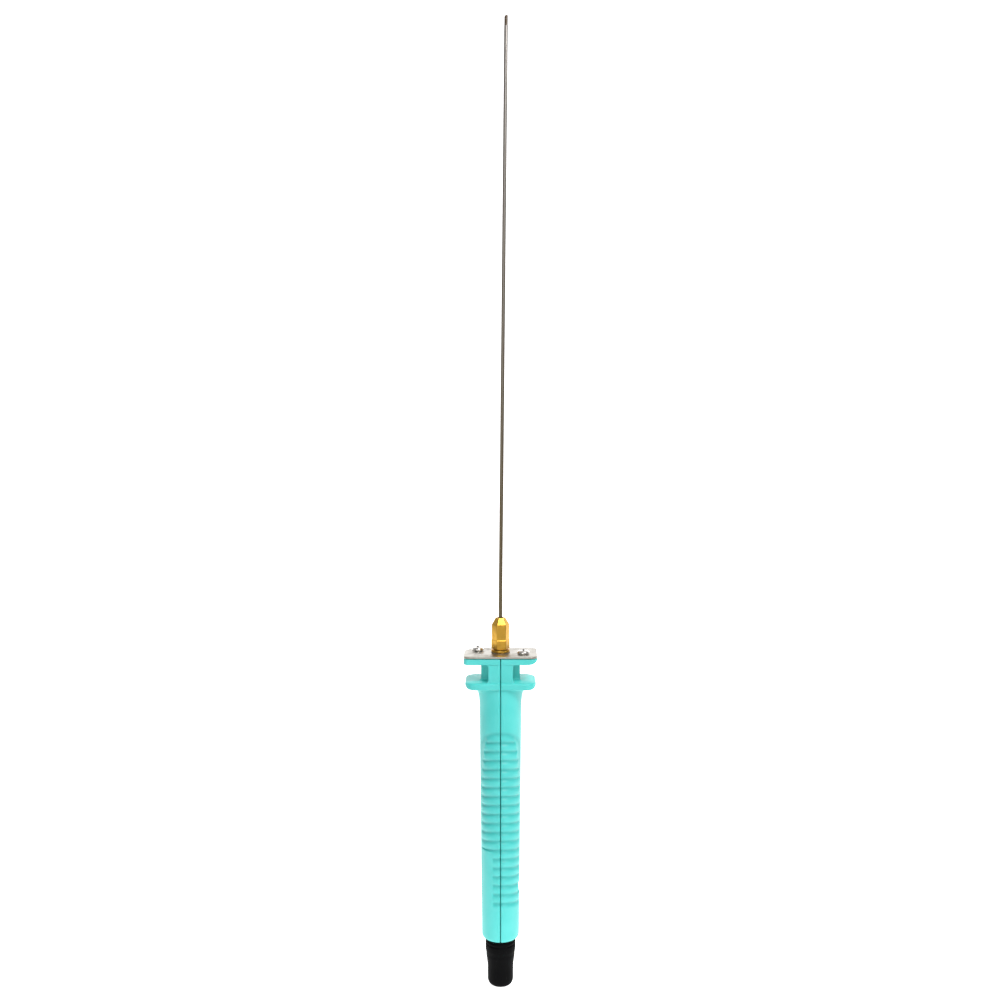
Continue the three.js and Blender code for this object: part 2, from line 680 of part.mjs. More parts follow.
// ---------------------------------------------------------------- boot
const notchZ = (index) => rimZ - bootNotchDrop - index * bootNotchPitch;
const bootNotches = [1, 0].flatMap((index) => [
  [bootTopRadius, notchZ(index) - bootNotch], [bootTopRadius - bootNotch, notchZ(index)],
  [bootTopRadius, notchZ(index) + bootNotch],
]);
const bootShoulderZ = rimZ - gap;
const bootWaistZ = bootMouth - bootWaistDrop;
const bootFullZ = notchZ(1) - bootNotchPitch / 2;
addPiece("inlet_boot", turned([
  [bootWaistRadius - bootEndRound, 0],
  ...arcPoints([bootWaistRadius - bootEndRound, bootEndRound], bootEndRound, -60, 0, 2),
  [bootWaistRadius, bootWaistZ],
  [THREE.MathUtils.lerp(bootWaistRadius, bootTopRadius, bootTaperShare), (bootWaistZ + bootFullZ) / 2],
  [bootTopRadius, bootFullZ],
  ...bootNotches,
  [bootTopRadius, bootShoulderZ], [bootNeckRadius, bootShoulderZ],
  [bootNeckRadius, bootFlangeFootZ], [bootFlangeRadius, bootFlangeFootZ], [bootFlangeRadius, bootTopZ],
  [bootInner, bootTopZ], [bootInner, bootMouth], [bootBore, bootMouth], [bootBore, 0],
], roundSides), "rubber");

// ---------------------------------------------------------------- power jack
const pinHole = jackPinTailRadius + gap;
const tabSlot = block(
  [sleeveInner - gap, -tabHalfWidth - gap, jackFloorZ - tabSlotRelief],
  [sleeveOuter + gap, tabHalfWidth + gap, jackBackZ + overrun]);
addPiece("power_jack_body", turned([
  [jackBore, jackFrontZ], [jackRadius, jackFrontZ], [jackRadius, jackFlangeFootZ],
  [bootFlangeRadius, jackFlangeFootZ], [bootFlangeRadius, jackFlangeTopZ], [jackRadius, jackFlangeTopZ],
  [jackRadius, jackBackZ], [pinHole, jackBackZ], [pinHole, jackFloorZ], [jackBore, jackFloorZ],
]).subtract(tabSlot), "blackPlastic");

const sleeveTab = block(
  [sleeveInner + tabInset.inner, -tabHalfWidth, jackFloorZ - tabRoot],
  [sleeveOuter - tabInset.outer, tabHalfWidth, terminalTopZ]);
addPiece("jack_sleeve_contact", sleeve(
  sleeveOuter, sleeveInner, jackFrontZ + sleeveSetback, jackFloorZ - gap).add(sleeveTab), "steel");
addPiece("jack_centre_pin", turned([
  [0, jackPinFrontZ], [jackPinRadius * jackPinNose.share, jackPinFrontZ],
  [jackPinRadius, jackPinFrontZ + jackPinNose.length], [jackPinRadius, jackFloorZ - gap],
  [jackPinTailRadius, jackFloorZ - gap], [jackPinTailRadius, terminalTopZ], [0, terminalTopZ],
], 20), "brass");

// ---------------------------------------------------------------- leads
/** A lead by way of some points inside the handle, leaving both ends upright. */
function lead(points) {
  const stub = new THREE.Vector3(0, 0, leadStub);
  const route = points.map((point) => new THREE.Vector3(...point));
  route.splice(1, 0, route[0].clone().add(stub));
  route.splice(-1, 0, route.at(-1).clone().sub(stub));
  return alongCurve(new THREE.CatmullRomCurve3(route), leadRadius, 0, 28, 4);
}

const leadFootZ = terminalTopZ + gap;
const liveTopZ = socketFootZ - gap;
addPiece("live_lead", lead([
  [0, 0, leadFootZ], [0, -leadOffset, handleScrewZ - leadPastBoss.below],
  [0, -leadOffset, handleScrewZ + leadPastBoss.above], [0, -leadOffset, liveTopZ - liveLeadBend], [0, 0, liveTopZ],
]), "redInsulation");

const tabX = (sleeveInner + sleeveOuter) / 2;
const locknutFlat = locknutCornerRadius * Math.cos(Math.PI / 6);
const returnLeadTopOffset = (locknutFlat + headCavityRadius) / 2;
addPiece("return_lead", lead([
  [tabX, 0, leadFootZ], [0, leadOffset, handleScrewZ - leadPastBoss.below],
  [0, leadOffset, handleScrewZ + leadPastBoss.above], [0, leadOffset, holderFootZ - leadPastHolder.below],
  [0, leadOffset, holderTopZ + leadPastHolder.above],
  [0, returnLeadTopOffset, locknutFootZ - leadPastLocknut],
  [0, returnLeadTopOffset, tagFootZ - gap],
]), "blackInsulation");

export default pen;
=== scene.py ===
"""A hot-wire foam cutting pen: two-half moulded handle, steel face plate, brass collet, long
heated needle and a rubber boot round the power inlet.

Each sub-assembly is a class that builds and dresses its own meshes. Sizes are in millimetres and
follow the frame's boxes where a box gives them. The pen stands along +Z, its ribbed front is -Y.
"""

import logging
import math
from dataclasses import dataclass
from dataclasses import field
from enum import Enum
from typing import Iterable
from typing import Sequence

import bmesh
import bpy
import numpy as np
from mathutils import Matrix
from mathutils import Vector


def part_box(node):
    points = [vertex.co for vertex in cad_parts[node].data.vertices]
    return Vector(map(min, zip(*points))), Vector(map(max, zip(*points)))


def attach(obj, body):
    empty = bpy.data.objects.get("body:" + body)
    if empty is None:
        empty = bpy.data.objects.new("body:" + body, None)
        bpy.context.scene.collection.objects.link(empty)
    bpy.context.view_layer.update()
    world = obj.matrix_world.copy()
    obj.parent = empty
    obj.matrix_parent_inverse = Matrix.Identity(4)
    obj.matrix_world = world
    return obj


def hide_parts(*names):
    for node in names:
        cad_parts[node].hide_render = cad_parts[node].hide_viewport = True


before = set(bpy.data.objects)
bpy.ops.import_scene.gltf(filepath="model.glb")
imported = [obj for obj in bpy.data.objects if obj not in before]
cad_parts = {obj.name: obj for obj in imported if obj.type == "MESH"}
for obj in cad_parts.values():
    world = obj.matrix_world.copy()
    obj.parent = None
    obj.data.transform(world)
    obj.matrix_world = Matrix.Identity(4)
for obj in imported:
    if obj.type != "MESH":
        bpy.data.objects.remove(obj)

log = logging.getLogger("pen")

MM = 0.001
GAP = 0.3
Point = tuple[float, float]
Triple = tuple[float, float, float]


class Body(Enum):
    """The bodies that the pieces ride on."""

    HANDLE = "handle"
    NUT = "nut"
    NEEDLE = "needle"


class Axis(Enum):
    """The way a round piece's axis points."""

    UP = "z"
    RIGHT = "x"


class Half(Enum):
    """The two halves of the handle, by the sign of X."""

    LEFT = -1
    RIGHT = 1


@dataclass(frozen=True)
class Span:
    """A CAD node's box, in millimetres."""

    low: Vector
    high: Vector

    @classmethod
    def of(cls, node: str) -> "Span":
        """Reads a node's box from the frame."""
        low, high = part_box(node)
        return cls(low / MM, high / MM)


# ------------------------------------------------------------------ node trees
class Signal:
    """A number in a node tree, with Python's arithmetic."""

    def __init__(self, graph: "Graph", socket: bpy.types.NodeSocket) -> None:
        self.graph = graph
        self.socket = socket

    def math(self, operation: str, *others: "Signal | float") -> "Signal":
        """Applies one Math operation.

        Args:
            operation: The Math node's operation.
            others: The second and third operands.

        Returns:
            The result.
        """
        return self.graph.math(operation, self, *others)

    def __add__(self, other: "Signal | float") -> "Signal":
        """Adds."""
        return self.math("ADD", other)

    def __sub__(self, other: "Signal | float") -> "Signal":
        """Subtracts."""
        return self.math("SUBTRACT", other)

    def __mul__(self, other: "Signal | float") -> "Signal":
        """Multiplies."""
        return self.math("MULTIPLY", other)

    def __truediv__(self, other: "Signal | float") -> "Signal":
        """Divides."""
        return self.math("DIVIDE", other)

    def __rsub__(self, other: float) -> "Signal":
        """Subtracts from a plain number."""
        return self.graph.math("SUBTRACT", other, self)

    def __rtruediv__(self, other: float) -> "Signal":
        """Divides a plain number."""
        return self.graph.math("DIVIDE", other, self)

    __radd__ = __add__
    __rmul__ = __mul__

    def clamped(self) -> "Signal":
        """Keeps the number between 0 and 1."""
        return self.math("MAXIMUM", 0.0).math("MINIMUM", 1.0)

    def ramp(self, low: float, high: float) -> "Signal":
        """Rises smoothly from 0 at one level to 1 at another.

        Args:
            low: The level that gives 0.
            high: The level that gives 1.

        Returns:
            The ramp's value.
        """
        share = ((self - low) / (high - low)).clamped()
        return share * share * (3.0 - 2.0 * share)


class Graph:
    """A node tree being built, for a material or for Geometry Nodes."""

    def __init__(self, tree: bpy.types.NodeTree) -> None:
        self.tree = tree

    def node(
        self,
        kind: str,
        settings: dict[str, object] | None = None,
        inputs: dict[str | int, object] | None = None,
    ) -> bpy.types.Node:
        """Makes any node.

        Args:
            kind: The node's type.
            settings: Its properties, set before its sockets.
            inputs: Values, signals or sockets, by socket name or index.

        Returns:
            The node.
        """
        made = self.tree.nodes.new(kind)
        for name, value in (settings or {}).items():
            setattr(made, name, value)
        for name, value in (inputs or {}).items():
            self.feed(made.inputs[name], value)
        return made

    def feed(self, socket: bpy.types.NodeSocket, value: object) -> None:
        """Links a signal or socket to an input, or sets the input's value.

        Args:
            socket: The input.
            value: A signal, an output socket or a plain value.
        """
        if isinstance(value, Signal):
            value = value.socket
        if isinstance(value, bpy.types.NodeSocket):
            self.tree.links.new(value, socket)
        else:
            socket.default_value = value

    def math(self, operation: str, *values: "Signal | float") -> Signal:
        """Makes one Math node.

        Args:
            operation: The node's operation.
            values: Its operands.

        Returns:
            Its result.
        """
        made = self.node("ShaderNodeMath", {"operation": operation}, dict(enumerate(values)))
        return Signal(self, made.outputs[0])

    def parts(self, vector: bpy.types.NodeSocket) -> tuple[Signal, Signal, Signal]:
        """Splits a vector.

        Args:
            vector: The vector's socket.

        Returns:
            Its X, Y and Z.
        """
        made = self.node("ShaderNodeSeparateXYZ", inputs={0: vector})
        return tuple(Signal(self, output) for output in made.outputs)

    def joined(self, x: Signal | float, y: Signal | float, z: Signal | float) -> bpy.types.NodeSocket:
        """Makes a vector of three numbers."""
        return self.node("ShaderNodeCombineXYZ", inputs={0: x, 1: y, 2: z}).outputs[0]

    def stretched(self, vector: bpy.types.NodeSocket, scale: Triple) -> bpy.types.NodeSocket:
        """Multiplies a vector by a scale for each axis."""
        made = self.node("ShaderNodeVectorMath", {"operation": "MULTIPLY"}, {0: vector, 1: scale})
        return made.outputs[0]


class Shader(Graph):
    """One material's nodes, patterned on Object coordinates in metres."""

    def __init__(self, name: str) -> None:
        self.material = bpy.data.materials.new(name)
        self.material.use_nodes = True
        super().__init__(self.material.node_tree)
        self.tree.nodes.clear()
        self.place = self.node("ShaderNodeTexCoord").outputs["Object"]

    def noise(self, scale: float, stretch: Triple = (1, 1, 1), detail: float = 3.0) -> Signal:
        """A noise pattern.

        Args:
            scale: Cells a metre.
            stretch: How much faster it changes along each axis.
            detail: Its octaves.

        Returns:
            A number between 0 and 1.
        """
        vector = self.stretched(self.place, stretch)
        made = self.node(
            "ShaderNodeTexNoise", inputs={"Vector": vector, "Scale": scale, "Detail": detail})
        return Signal(self, made.outputs["Fac"])

    def attribute(self, name: str) -> Signal:
        """Reads one of the mesh's own attributes."""
        return Signal(self, self.node("ShaderNodeAttribute", {"attribute_name": name}).outputs["Fac"])

    def mix(self, factor: Signal | float, first: object, second: object) -> bpy.types.NodeSocket:
        """Mixes two colours.

        Args:
            factor: 0 gives the first and 1 the second.
            first: A colour of three numbers, or a colour socket.
            second: The other colour.

        Returns:
            The mixed colour's socket.
        """
        made = self.node("ShaderNodeMix", {"data_type": "RGBA"})
        self.feed(made.inputs[0], factor)
        for socket, colour in zip((made.inputs[6], made.inputs[7]), (first, second)):
            self.feed(socket, colour if isinstance(colour, bpy.types.NodeSocket) else (*colour, 1.0))
        return made.outputs[2]

    def bump(self, height: Signal, distance: float, strength: float = 1.0) -> bpy.types.NodeSocket:
        """Turns a height into a normal.

        Args:
            height: The height, 0 to 1.
            distance: What a height of 1 stands for, in millimetres.
            strength: The bump's strength.

        Returns:
            The normal's socket.
        """
        made = self.node(
            "ShaderNodeBump", inputs={"Strength": strength, "Distance": distance * MM, "Height": height})
        return made.outputs[0]

    def surface(self, inputs: dict[str, object]) -> bpy.types.Material:
        """Ends the tree in a Principled surface.

        Args:
            inputs: The surface's values and links, by socket name.

        Returns:
            The finished material.
        """
        surface = self.node("ShaderNodeBsdfPrincipled", inputs=inputs)
        output = self.node("ShaderNodeOutputMaterial")
        self.tree.links.new(surface.outputs[0], output.inputs["Surface"])
        return self.material


# ------------------------------------------------------------------ finishes
@dataclass(frozen=True)
class Finish:
    """A finish and the record's slot that it belongs to."""

    slot: str

    def material(self) -> bpy.types.Material:
        """Makes the finish's material, or gives the one already made."""
        made = bpy.data.materials.get(self.slot + "_finish")
        return made or self.build(Shader(self.slot + "_finish"))

    def build(self, shader: Shader) -> bpy.types.Material:
        """Builds the nodes; each finish has its own way."""
        raise NotImplementedError


@dataclass(frozen=True)
class HandlePlastic(Finish):
    """Satin teal moulding: fine texture, mottling, painted shade in the grooves and rubbed patches."""

    body: Triple = (0.080, 0.60, 0.565)
    # Painted shade: the darker teal that the grooves are tinted towards.
    groove_shade: Triple = (0.015, 0.29, 0.28)
    rubbed: Triple = (0.12, 0.68, 0.65)
    roughness: float = 0.42

    def build(self, shader: Shader) -> bpy.types.Material:
        """Builds the moulding's nodes."""
        clouds = shader.noise(120.0)
        grain = shader.noise(5200.0, detail=2.0)
        scuffs = shader.noise(900.0, (1.0, 1.0, 0.25)).ramp(0.60, 0.78)
        recess = shader.attribute("recess").clamped()
        colour = shader.mix(clouds.ramp(0.35, 0.7) * 0.35, self.body, self.rubbed)
        # Painted shade: the recess mask darkens the teal in the grooves, where shade falls.
        colour = shader.mix(recess * 0.45, colour, self.groove_shade)
        rough = self.roughness + 0.10 * (clouds - 0.5) + 0.08 * (grain - 0.5) - 0.07 * scuffs
        return shader.surface({
            "Base Color": colour,
            "Roughness": rough,
            "Normal": shader.bump(grain + 0.4 * scuffs, 0.012, 0.6),
            "Specular IOR Level": 0.4,
            "Subsurface Weight": 0.04,
            "Subsurface Scale": 0.002,
            "Coat Weight": 0.10 * clouds,
            "Coat Roughness": 0.25,
        })


@dataclass(frozen=True)
class GrainedSteel(Finish):
    """Steel with a grain along one axis and soft stains."""

    bright: Triple = (0.44, 0.415, 0.37)
    stain: Triple = (0.26, 0.23, 0.185)
    roughness: float = 0.34
    grain: Triple = (0.04, 1.0, 1.0)

    def build(self, shader: Shader) -> bpy.types.Material:
        """Builds the steel's nodes."""
        lines = shader.noise(9000.0, self.grain, 4.0)
        stains = shader.noise(260.0, detail=5.0).ramp(0.45, 0.78)
        pits = shader.noise(2600.0, detail=2.0).ramp(0.66, 0.80)
        colour = shader.mix(0.6 * stains + 0.3 * pits, self.bright, self.stain)
        return shader.surface({
            "Base Color": colour,
            "Metallic": 1.0 - 0.15 * stains,
            "Roughness": self.roughness + 0.16 * (lines - 0.5) + 0.15 * stains,
            "Normal": shader.bump(lines - 0.5 * pits, 0.010, 0.5),
        })


@dataclass(frozen=True)
class MachinedBrass(Finish):
    """Brass with fine turning marks round the axis and a patchy tarnish."""

    bright: Triple = (0.66, 0.38, 0.055)
    tarnish: Triple = (0.48, 0.25, 0.035)
    roughness: float = 0.31

    def build(self, shader: Shader) -> bpy.types.Material:
        """Builds the brass's nodes."""
        turning = shader.noise(7000.0, (0.03, 0.03, 1.0), 3.0)
        patches = shader.noise(420.0, detail=4.0).ramp(0.42, 0.75)
        colour = shader.mix(0.38 * patches + 0.18 * turning, self.bright, self.tarnish)
        return shader.surface({
            "Base Color": colour,
            "Metallic": 1.0,
            "Roughness": self.roughness + 0.14 * (turning - 0.5) + 0.14 * patches,
            "Normal": shader.bump(turning, 0.008, 0.5),
        })


@dataclass(frozen=True)
class NeedleSteel(Finish):
    """Drawn steel, straw-coloured by heat near the collet and greyer towards the tip."""

    hot_from: float = 0.16
    hot_to: float = 0.40
    straw: Triple = (0.165, 0.13, 0.075)
    grey: Triple = (0.31, 0.29, 0.27)
    scale: Triple = (0.16, 0.13, 0.10)
    roughness: float = 0.33

    def build(self, shader: Shader) -> bpy.types.Material:
        """Builds the needle's nodes."""
        height = shader.parts(shader.place)[2]
        drawn = shader.noise(9000.0, (1.0, 1.0, 0.02), 3.0)
        bands = shader.noise(90.0, (0.2, 0.2, 1.0), 4.0)
        scale = shader.noise(1500.0, (1.0, 1.0, 0.3), 3.0).ramp(0.60, 0.78)
        heat = (height + 0.02 * (bands - 0.5)).ramp(self.hot_from, self.hot_to)
        colour = shader.mix(heat, self.straw, self.grey)
        colour = shader.mix(0.45 * scale + 0.18 * bands, colour, self.scale)
        return shader.surface({
            "Base Color": colour,
            "Metallic": 1.0 - 0.2 * scale,
            "Roughness": self.roughness + 0.18 * (drawn - 0.5) + 0.18 * scale,
            "Normal": shader.bump(drawn, 0.006, 0.5),
        })


@dataclass(frozen=True)
class Moulded(Finish):
    """Rubber, plastic or wire insulation in one colour, with a fine skin and dust."""

    colour: Triple = (0.012, 0.012, 0.013)
    dust: Triple = (0.05, 0.05, 0.052)
    roughness: float = 0.55
    skin: float = 3000.0
    sheen: float = 0.5

    def build(self, shader: Shader) -> bpy.types.Material:
        """Builds the moulding's nodes."""
        skin = shader.noise(self.skin, detail=4.0)
        dust = shader.noise(500.0, detail=5.0).ramp(0.50, 0.80)
        return shader.surface({
            "Base Color": shader.mix(0.5 * dust, self.colour, self.dust),
            "Roughness": self.roughness + 0.14 * (skin - 0.5) + 0.16 * dust,
            "Specular IOR Level": self.sheen,
            "Normal": shader.bump(skin, 0.015, 0.5),
        })


TEAL = HandlePlastic("handle_plastic")
PLATE_STEEL = GrainedSteel("plate_steel")
SCREW_STEEL = GrainedSteel(
    "screw_steel", bright=(0.80, 0.77, 0.73), stain=(0.50, 0.46, 0.41), roughness=0.2, grain=(1.0, 1.0, 1.0))
# Painted shade: a dark, dull steel for the faces inside the screws' cross recesses.
PAINTED_RECESS_SHADE = GrainedSteel(
    "painted_recess_shade", bright=(0.07, 0.066, 0.062), stain=(0.03, 0.027, 0.024), roughness=0.5,
    grain=(1.0, 1.0, 1.0))
BRASS = MachinedBrass("collet_brass")
NEEDLE = NeedleSteel("needle_steel")
BROWNED = GrainedSteel(
    "browned_steel", bright=(0.105, 0.082, 0.062), stain=(0.03, 0.022, 0.016), roughness=0.5,
    grain=(1.0, 1.0, 0.1))
CONTACT = GrainedSteel("contact_steel", bright=(0.66, 0.65, 0.63), roughness=0.26, grain=(1.0, 1.0, 0.05))
RUBBER = Moulded("boot_rubber", colour=(0.003, 0.003, 0.0033), dust=(0.005, 0.005, 0.0055), sheen=0.03)
JACK = Moulded("jack_plastic", colour=(0.018, 0.018, 0.02), roughness=0.4)
CREAM = Moulded("insulation", colour=(0.74, 0.68, 0.55), dust=(0.5, 0.43, 0.32), roughness=0.6)
COPPER = MachinedBrass("copper", bright=(0.66, 0.30, 0.16), tarnish=(0.33, 0.14, 0.08), roughness=0.36)
RED_WIRE = Moulded("live_insulation", colour=(0.42, 0.025, 0.018), dust=(0.5, 0.12, 0.1), roughness=0.45)
BLACK_WIRE = Moulded("return_insulation", colour=(0.018, 0.018, 0.018), roughness=0.45)


# ------------------------------------------------------------------ flat outlines
class Outline:
    """A flat shape round the axis, known by its signed distance in millimetres."""

    def distance(self, x: np.ndarray, y: np.ndarray) -> np.ndarray:
        """Distance to the edge, negative inside."""
        raise NotImplementedError

    def grown(self, amount: float) -> "Outline":
        """The same shape with its edge moved outwards."""
        return Grown(self, amount)

    def reach(self, start_x: float, angles: np.ndarray) -> np.ndarray:
        """How far the edge is along rays from a point on the X axis.

        Args:
            start_x: The rays' start.
            angles: Their directions, in radians from +X.

        Returns:
            The distance along each ray.
        """
        near = np.zeros_like(angles)
        far = np.full_like(angles, 40.0)
        for _ in range(36):
            middle = (near + far) / 2
            inside = self.distance(start_x + middle * np.cos(angles), middle * np.sin(angles)) < 0
            near = np.where(inside, middle, near)
            far = np.where(inside, far, middle)
        return near


@dataclass(frozen=True)
class Grown(Outline):
    """A shape with its edge moved outwards."""

    base: Outline
    amount: float

    def distance(self, x: np.ndarray, y: np.ndarray) -> np.ndarray:
        """Distance to the moved edge."""
        return self.base.distance(x, y) - self.amount


@dataclass(frozen=True)
class Disc(Outline):
    """A circle."""

    radius: float

    def distance(self, x: np.ndarray, y: np.ndarray) -> np.ndarray:
        """Distance to the circle."""
        return np.hypot(x, y) - self.radius


@dataclass(frozen=True)
class Oval(Outline):
    """An ellipse about the axis."""

    half_width: float
    half_depth: float

    def distance(self, x: np.ndarray, y: np.ndarray) -> np.ndarray:
        """Distance to the oval, near enough for a shape that is almost round."""
        return (np.hypot(x / self.half_width, y / self.half_depth) - 1.0) * self.half_depth


@dataclass(frozen=True)
class Rectangle(Outline):
    """A rectangle with a radius for each corner, from the front +X one anticlockwise."""

    width: float
    depth: float
    corners: tuple[float, float, float, float] = (0.6, 0.6, 0.6, 0.6)

    def distance(self, x: np.ndarray, y: np.ndarray) -> np.ndarray:
        """Distance to the rounded rectangle."""
        front_right, back_right, back_left, front_left = self.corners
        right = np.where(y < 0, front_right, back_right)
        left = np.where(y < 0, front_left, back_left)
        radius = np.where(x > 0, right, left)
        across = np.abs(x) - self.width / 2 + radius
        along = np.abs(y) - self.depth / 2 + radius
        outside = np.hypot(np.maximum(across, 0), np.maximum(along, 0))
        return outside + np.minimum(np.maximum(across, along), 0) - radius


@dataclass(frozen=True)
class Hexagon(Outline):
    """A hexagon with eased corners, one of them turned from +X by an angle."""

    corner: float
    turn: float
    easing: float = 0.16

    def distance(self, x: np.ndarray, y: np.ndarray) -> np.ndarray:
        """Distance to the nearest side, smoothed at the corners."""
        normals = math.radians(self.turn + 30) + np.arange(6) * math.pi / 3
        flat = self.corner * math.cos(math.pi / 6)
        sides = np.sort([x * math.cos(a) + y * math.sin(a) - flat for a in normals], axis=0)
        shared = np.maximum(self.easing - (sides[-1] - sides[-2]), 0) / self.easing
        return sides[-1] + shared * shared * self.easing / 4


@dataclass(frozen=True)
class Joined(Outline):
    """Two shapes joined, with a fillet where they meet."""

    first: Outline
    second: Outline
    fillet: float

    def distance(self, x: np.ndarray, y: np.ndarray) -> np.ndarray:
        """Distance to the joined shape."""
        a = self.first.distance(x, y)
        b = self.second.distance(x, y)
        shared = np.maximum(self.fillet - np.abs(a - b), 0) / self.fillet
        return np.minimum(a, b) - shared * shared * self.fillet / 4


@dataclass(frozen=True)
class Kept(Outline):
    """What two shapes share."""

    first: Outline
    second: Outline

    def distance(self, x: np.ndarray, y: np.ndarray) -> np.ndarray:
        """Distance to the shared shape."""
        return np.maximum(self.first.distance(x, y), self.second.distance(x, y))


@dataclass(frozen=True)
class ShortOf(Outline):
    """A shape cut off square at some X."""

    base: Outline
    limit: float

    def distance(self, x: np.ndarray, y: np.ndarray) -> np.ndarray:
        """Distance to the cut shape."""
        return np.maximum(self.base.distance(x, y), x - self.limit)


@dataclass(frozen=True)
class Narrowed(Outline):
    """A shape cut off square at both sides."""

    base: Outline
    limit: float

    def distance(self, x: np.ndarray, y: np.ndarray) -> np.ndarray:
        """Distance to the narrowed shape."""
        return np.maximum(self.base.distance(x, y), np.abs(x) - self.limit)


@dataclass(frozen=True)
class Station:
    """An outline at a height. Outer stations are rounded over at the handle's seam."""

    z: float
    outline: Outline
    outer: bool = False


def edge_inset(rise: float, radius: float) -> float:
    """How far a rounded edge stands back, at some distance from its face."""
    near = max(radius - rise, 0.0)
    return radius - math.sqrt(max(radius * radius - near * near, 0.0))


def steps(low: float, high: float, count: int) -> list[float]:
    """Evenly spaced numbers, both ends among them."""
    return [low + (high - low) * i / count for i in range(count + 1)]


# ------------------------------------------------------------------ meshes
def recalculated(mesh: bpy.types.Mesh) -> None:
    """Merges doubles and turns the faces outwards."""
    work = bmesh.new()
    work.from_mesh(mesh)
    bmesh.ops.remove_doubles(work, verts=work.verts, dist=2e-7)
    bmesh.ops.recalc_face_normals(work, faces=work.faces)
    work.to_mesh(mesh)
    work.free()


def new_object(name: str, points: Iterable[Triple], faces: Sequence[Sequence[int]]) -> bpy.types.Object:
    """Makes an object at the origin from points in millimetres.

    Args:
        name: The object's name.
        points: Its points.
        faces: Its faces, as indices of points.

    Returns:
        The object, linked to the scene.
    """
    mesh = bpy.data.meshes.new(name)
    mesh.from_pydata([tuple(value * MM for value in point) for point in points], [], faces)
    recalculated(mesh)
    made = bpy.data.objects.new(name, mesh)
    bpy.context.scene.collection.objects.link(made)
    return made


def remove(obj: bpy.types.Object) -> None:
    """Removes an object that only helped to make another."""
    bpy.data.objects.remove(obj, do_unlink=True)


def baked(obj: bpy.types.Object) -> bpy.types.Object:
    """Turns an object with live modifiers into a plain mesh object of the same name.

    Args:
        obj: The object, which is removed.

    Returns:
        The plain one.
    """
    name = obj.name
    evaluated = obj.evaluated_get(bpy.context.evaluated_depsgraph_get())
    mesh = bpy.data.meshes.new_from_object(evaluated)
    remove(obj)
    made = bpy.data.objects.new(name, mesh)
    bpy.context.scene.collection.objects.link(made)
    return made


def cut(obj: bpy.types.Object, cutters: Sequence[bpy.types.Object]) -> bpy.types.Object:
    """Takes cutters away from a solid.

    Args:
        obj: The solid.
        cutters: Closed solids, removed afterwards.

    Returns:
        The cut solid.
    """
    for i, cutter in enumerate(cutters):
        modifier = obj.modifiers.new(f"cut_{i}", "BOOLEAN")
        modifier.operation = "DIFFERENCE"
        modifier.solver = "EXACT"
        modifier.object = cutter
    bpy.context.view_layer.update()
    made = baked(obj)
    for cutter in cutters:
        remove(cutter)
    return made


def joined_meshes(name: str, pieces: Sequence[bpy.types.Object]) -> bpy.types.Object:
    """Puts several objects' meshes into one.

    Args:
        name: The new object's name.
        pieces: The objects, which are removed.

    Returns:
        The joined object.
    """
    work = bmesh.new()
    for piece in pieces:
        work.from_mesh(piece.data)
        remove(piece)
    mesh = bpy.data.meshes.new(name)
    work.to_mesh(mesh)
    work.free()
    made = bpy.data.objects.new(name, mesh)
    bpy.context.scene.collection.objects.link(made)
    return made


def rounded(points: Sequence[Point], radius: float, count: int = 3, closed: bool = False) -> list[Point]:
    """Rounds the corners of a profile.

    Args:
        points: The profile's corners.
        radius: The rounding, less where a side is short.
        count: Steps to a corner.
        closed: Whether the ends are corners too.

    Returns:
        The rounded profile.
    """
    made: list[Point] = []
    last = len(points) - 1
    for i, point in enumerate(points):
        if not closed and i in (0, last):
            made.append(point)
            continue
        here = Vector(point)
        before = Vector(points[i - 1]) - here
        after = Vector(points[(i + 1) % len(points)]) - here
        size = min(radius, before.length * 0.45, after.length * 0.45)
        start = here + before.normalized() * size
        end = here + after.normalized() * size
        for share in steps(0.0, 1.0, count):
            mixed = start.lerp(here, share).lerp(here.lerp(end, share), share)
            made.append((mixed.x, mixed.y))
    return made


@dataclass
class Turned:
    """A round piece: a profile of (radius, height) points turned about an axis.

    An open profile starts and ends on the axis, and a closed one goes round a bore.
    """

    name: str
    profile: Sequence[Point]
    closed: bool = False
    sides: int = 64
    axis: Axis = Axis.UP
    at: Triple = (0.0, 0.0, 0.0)

    def build(self) -> bpy.types.Object:
        """Turns the profile and closes its poles."""
        points: list[Triple] = []
        rings: list[list[int]] = []
        for radius, height in self.profile:
            if radius < 1e-6:
                rings.append([len(points)] * self.sides)
                points.append((0.0, 0.0, height))
                continue
            rings.append(list(range(len(points), len(points) + self.sides)))
            for i in range(self.sides):
                angle = 2 * math.pi * i / self.sides
                points.append((radius * math.cos(angle), radius * math.sin(angle), height))
        pairs = list(zip(rings, rings[1:]))
        if self.closed:
            pairs.append((rings[-1], rings[0]))
        faces = []
        for lower, upper in pairs:
            for i in range(self.sides):
                j = (i + 1) % self.sides
                corners = dict.fromkeys((lower[i], lower[j], upper[j], upper[i]))
                if len(corners) > 2:
                    faces.append(tuple(corners))
        if self.axis is Axis.RIGHT:
            points = [(z, y, -x) for x, y, z in points]
        shift = self.at
        return new_object(self.name, [tuple(map(sum, zip(point, shift))) for point in points], faces)


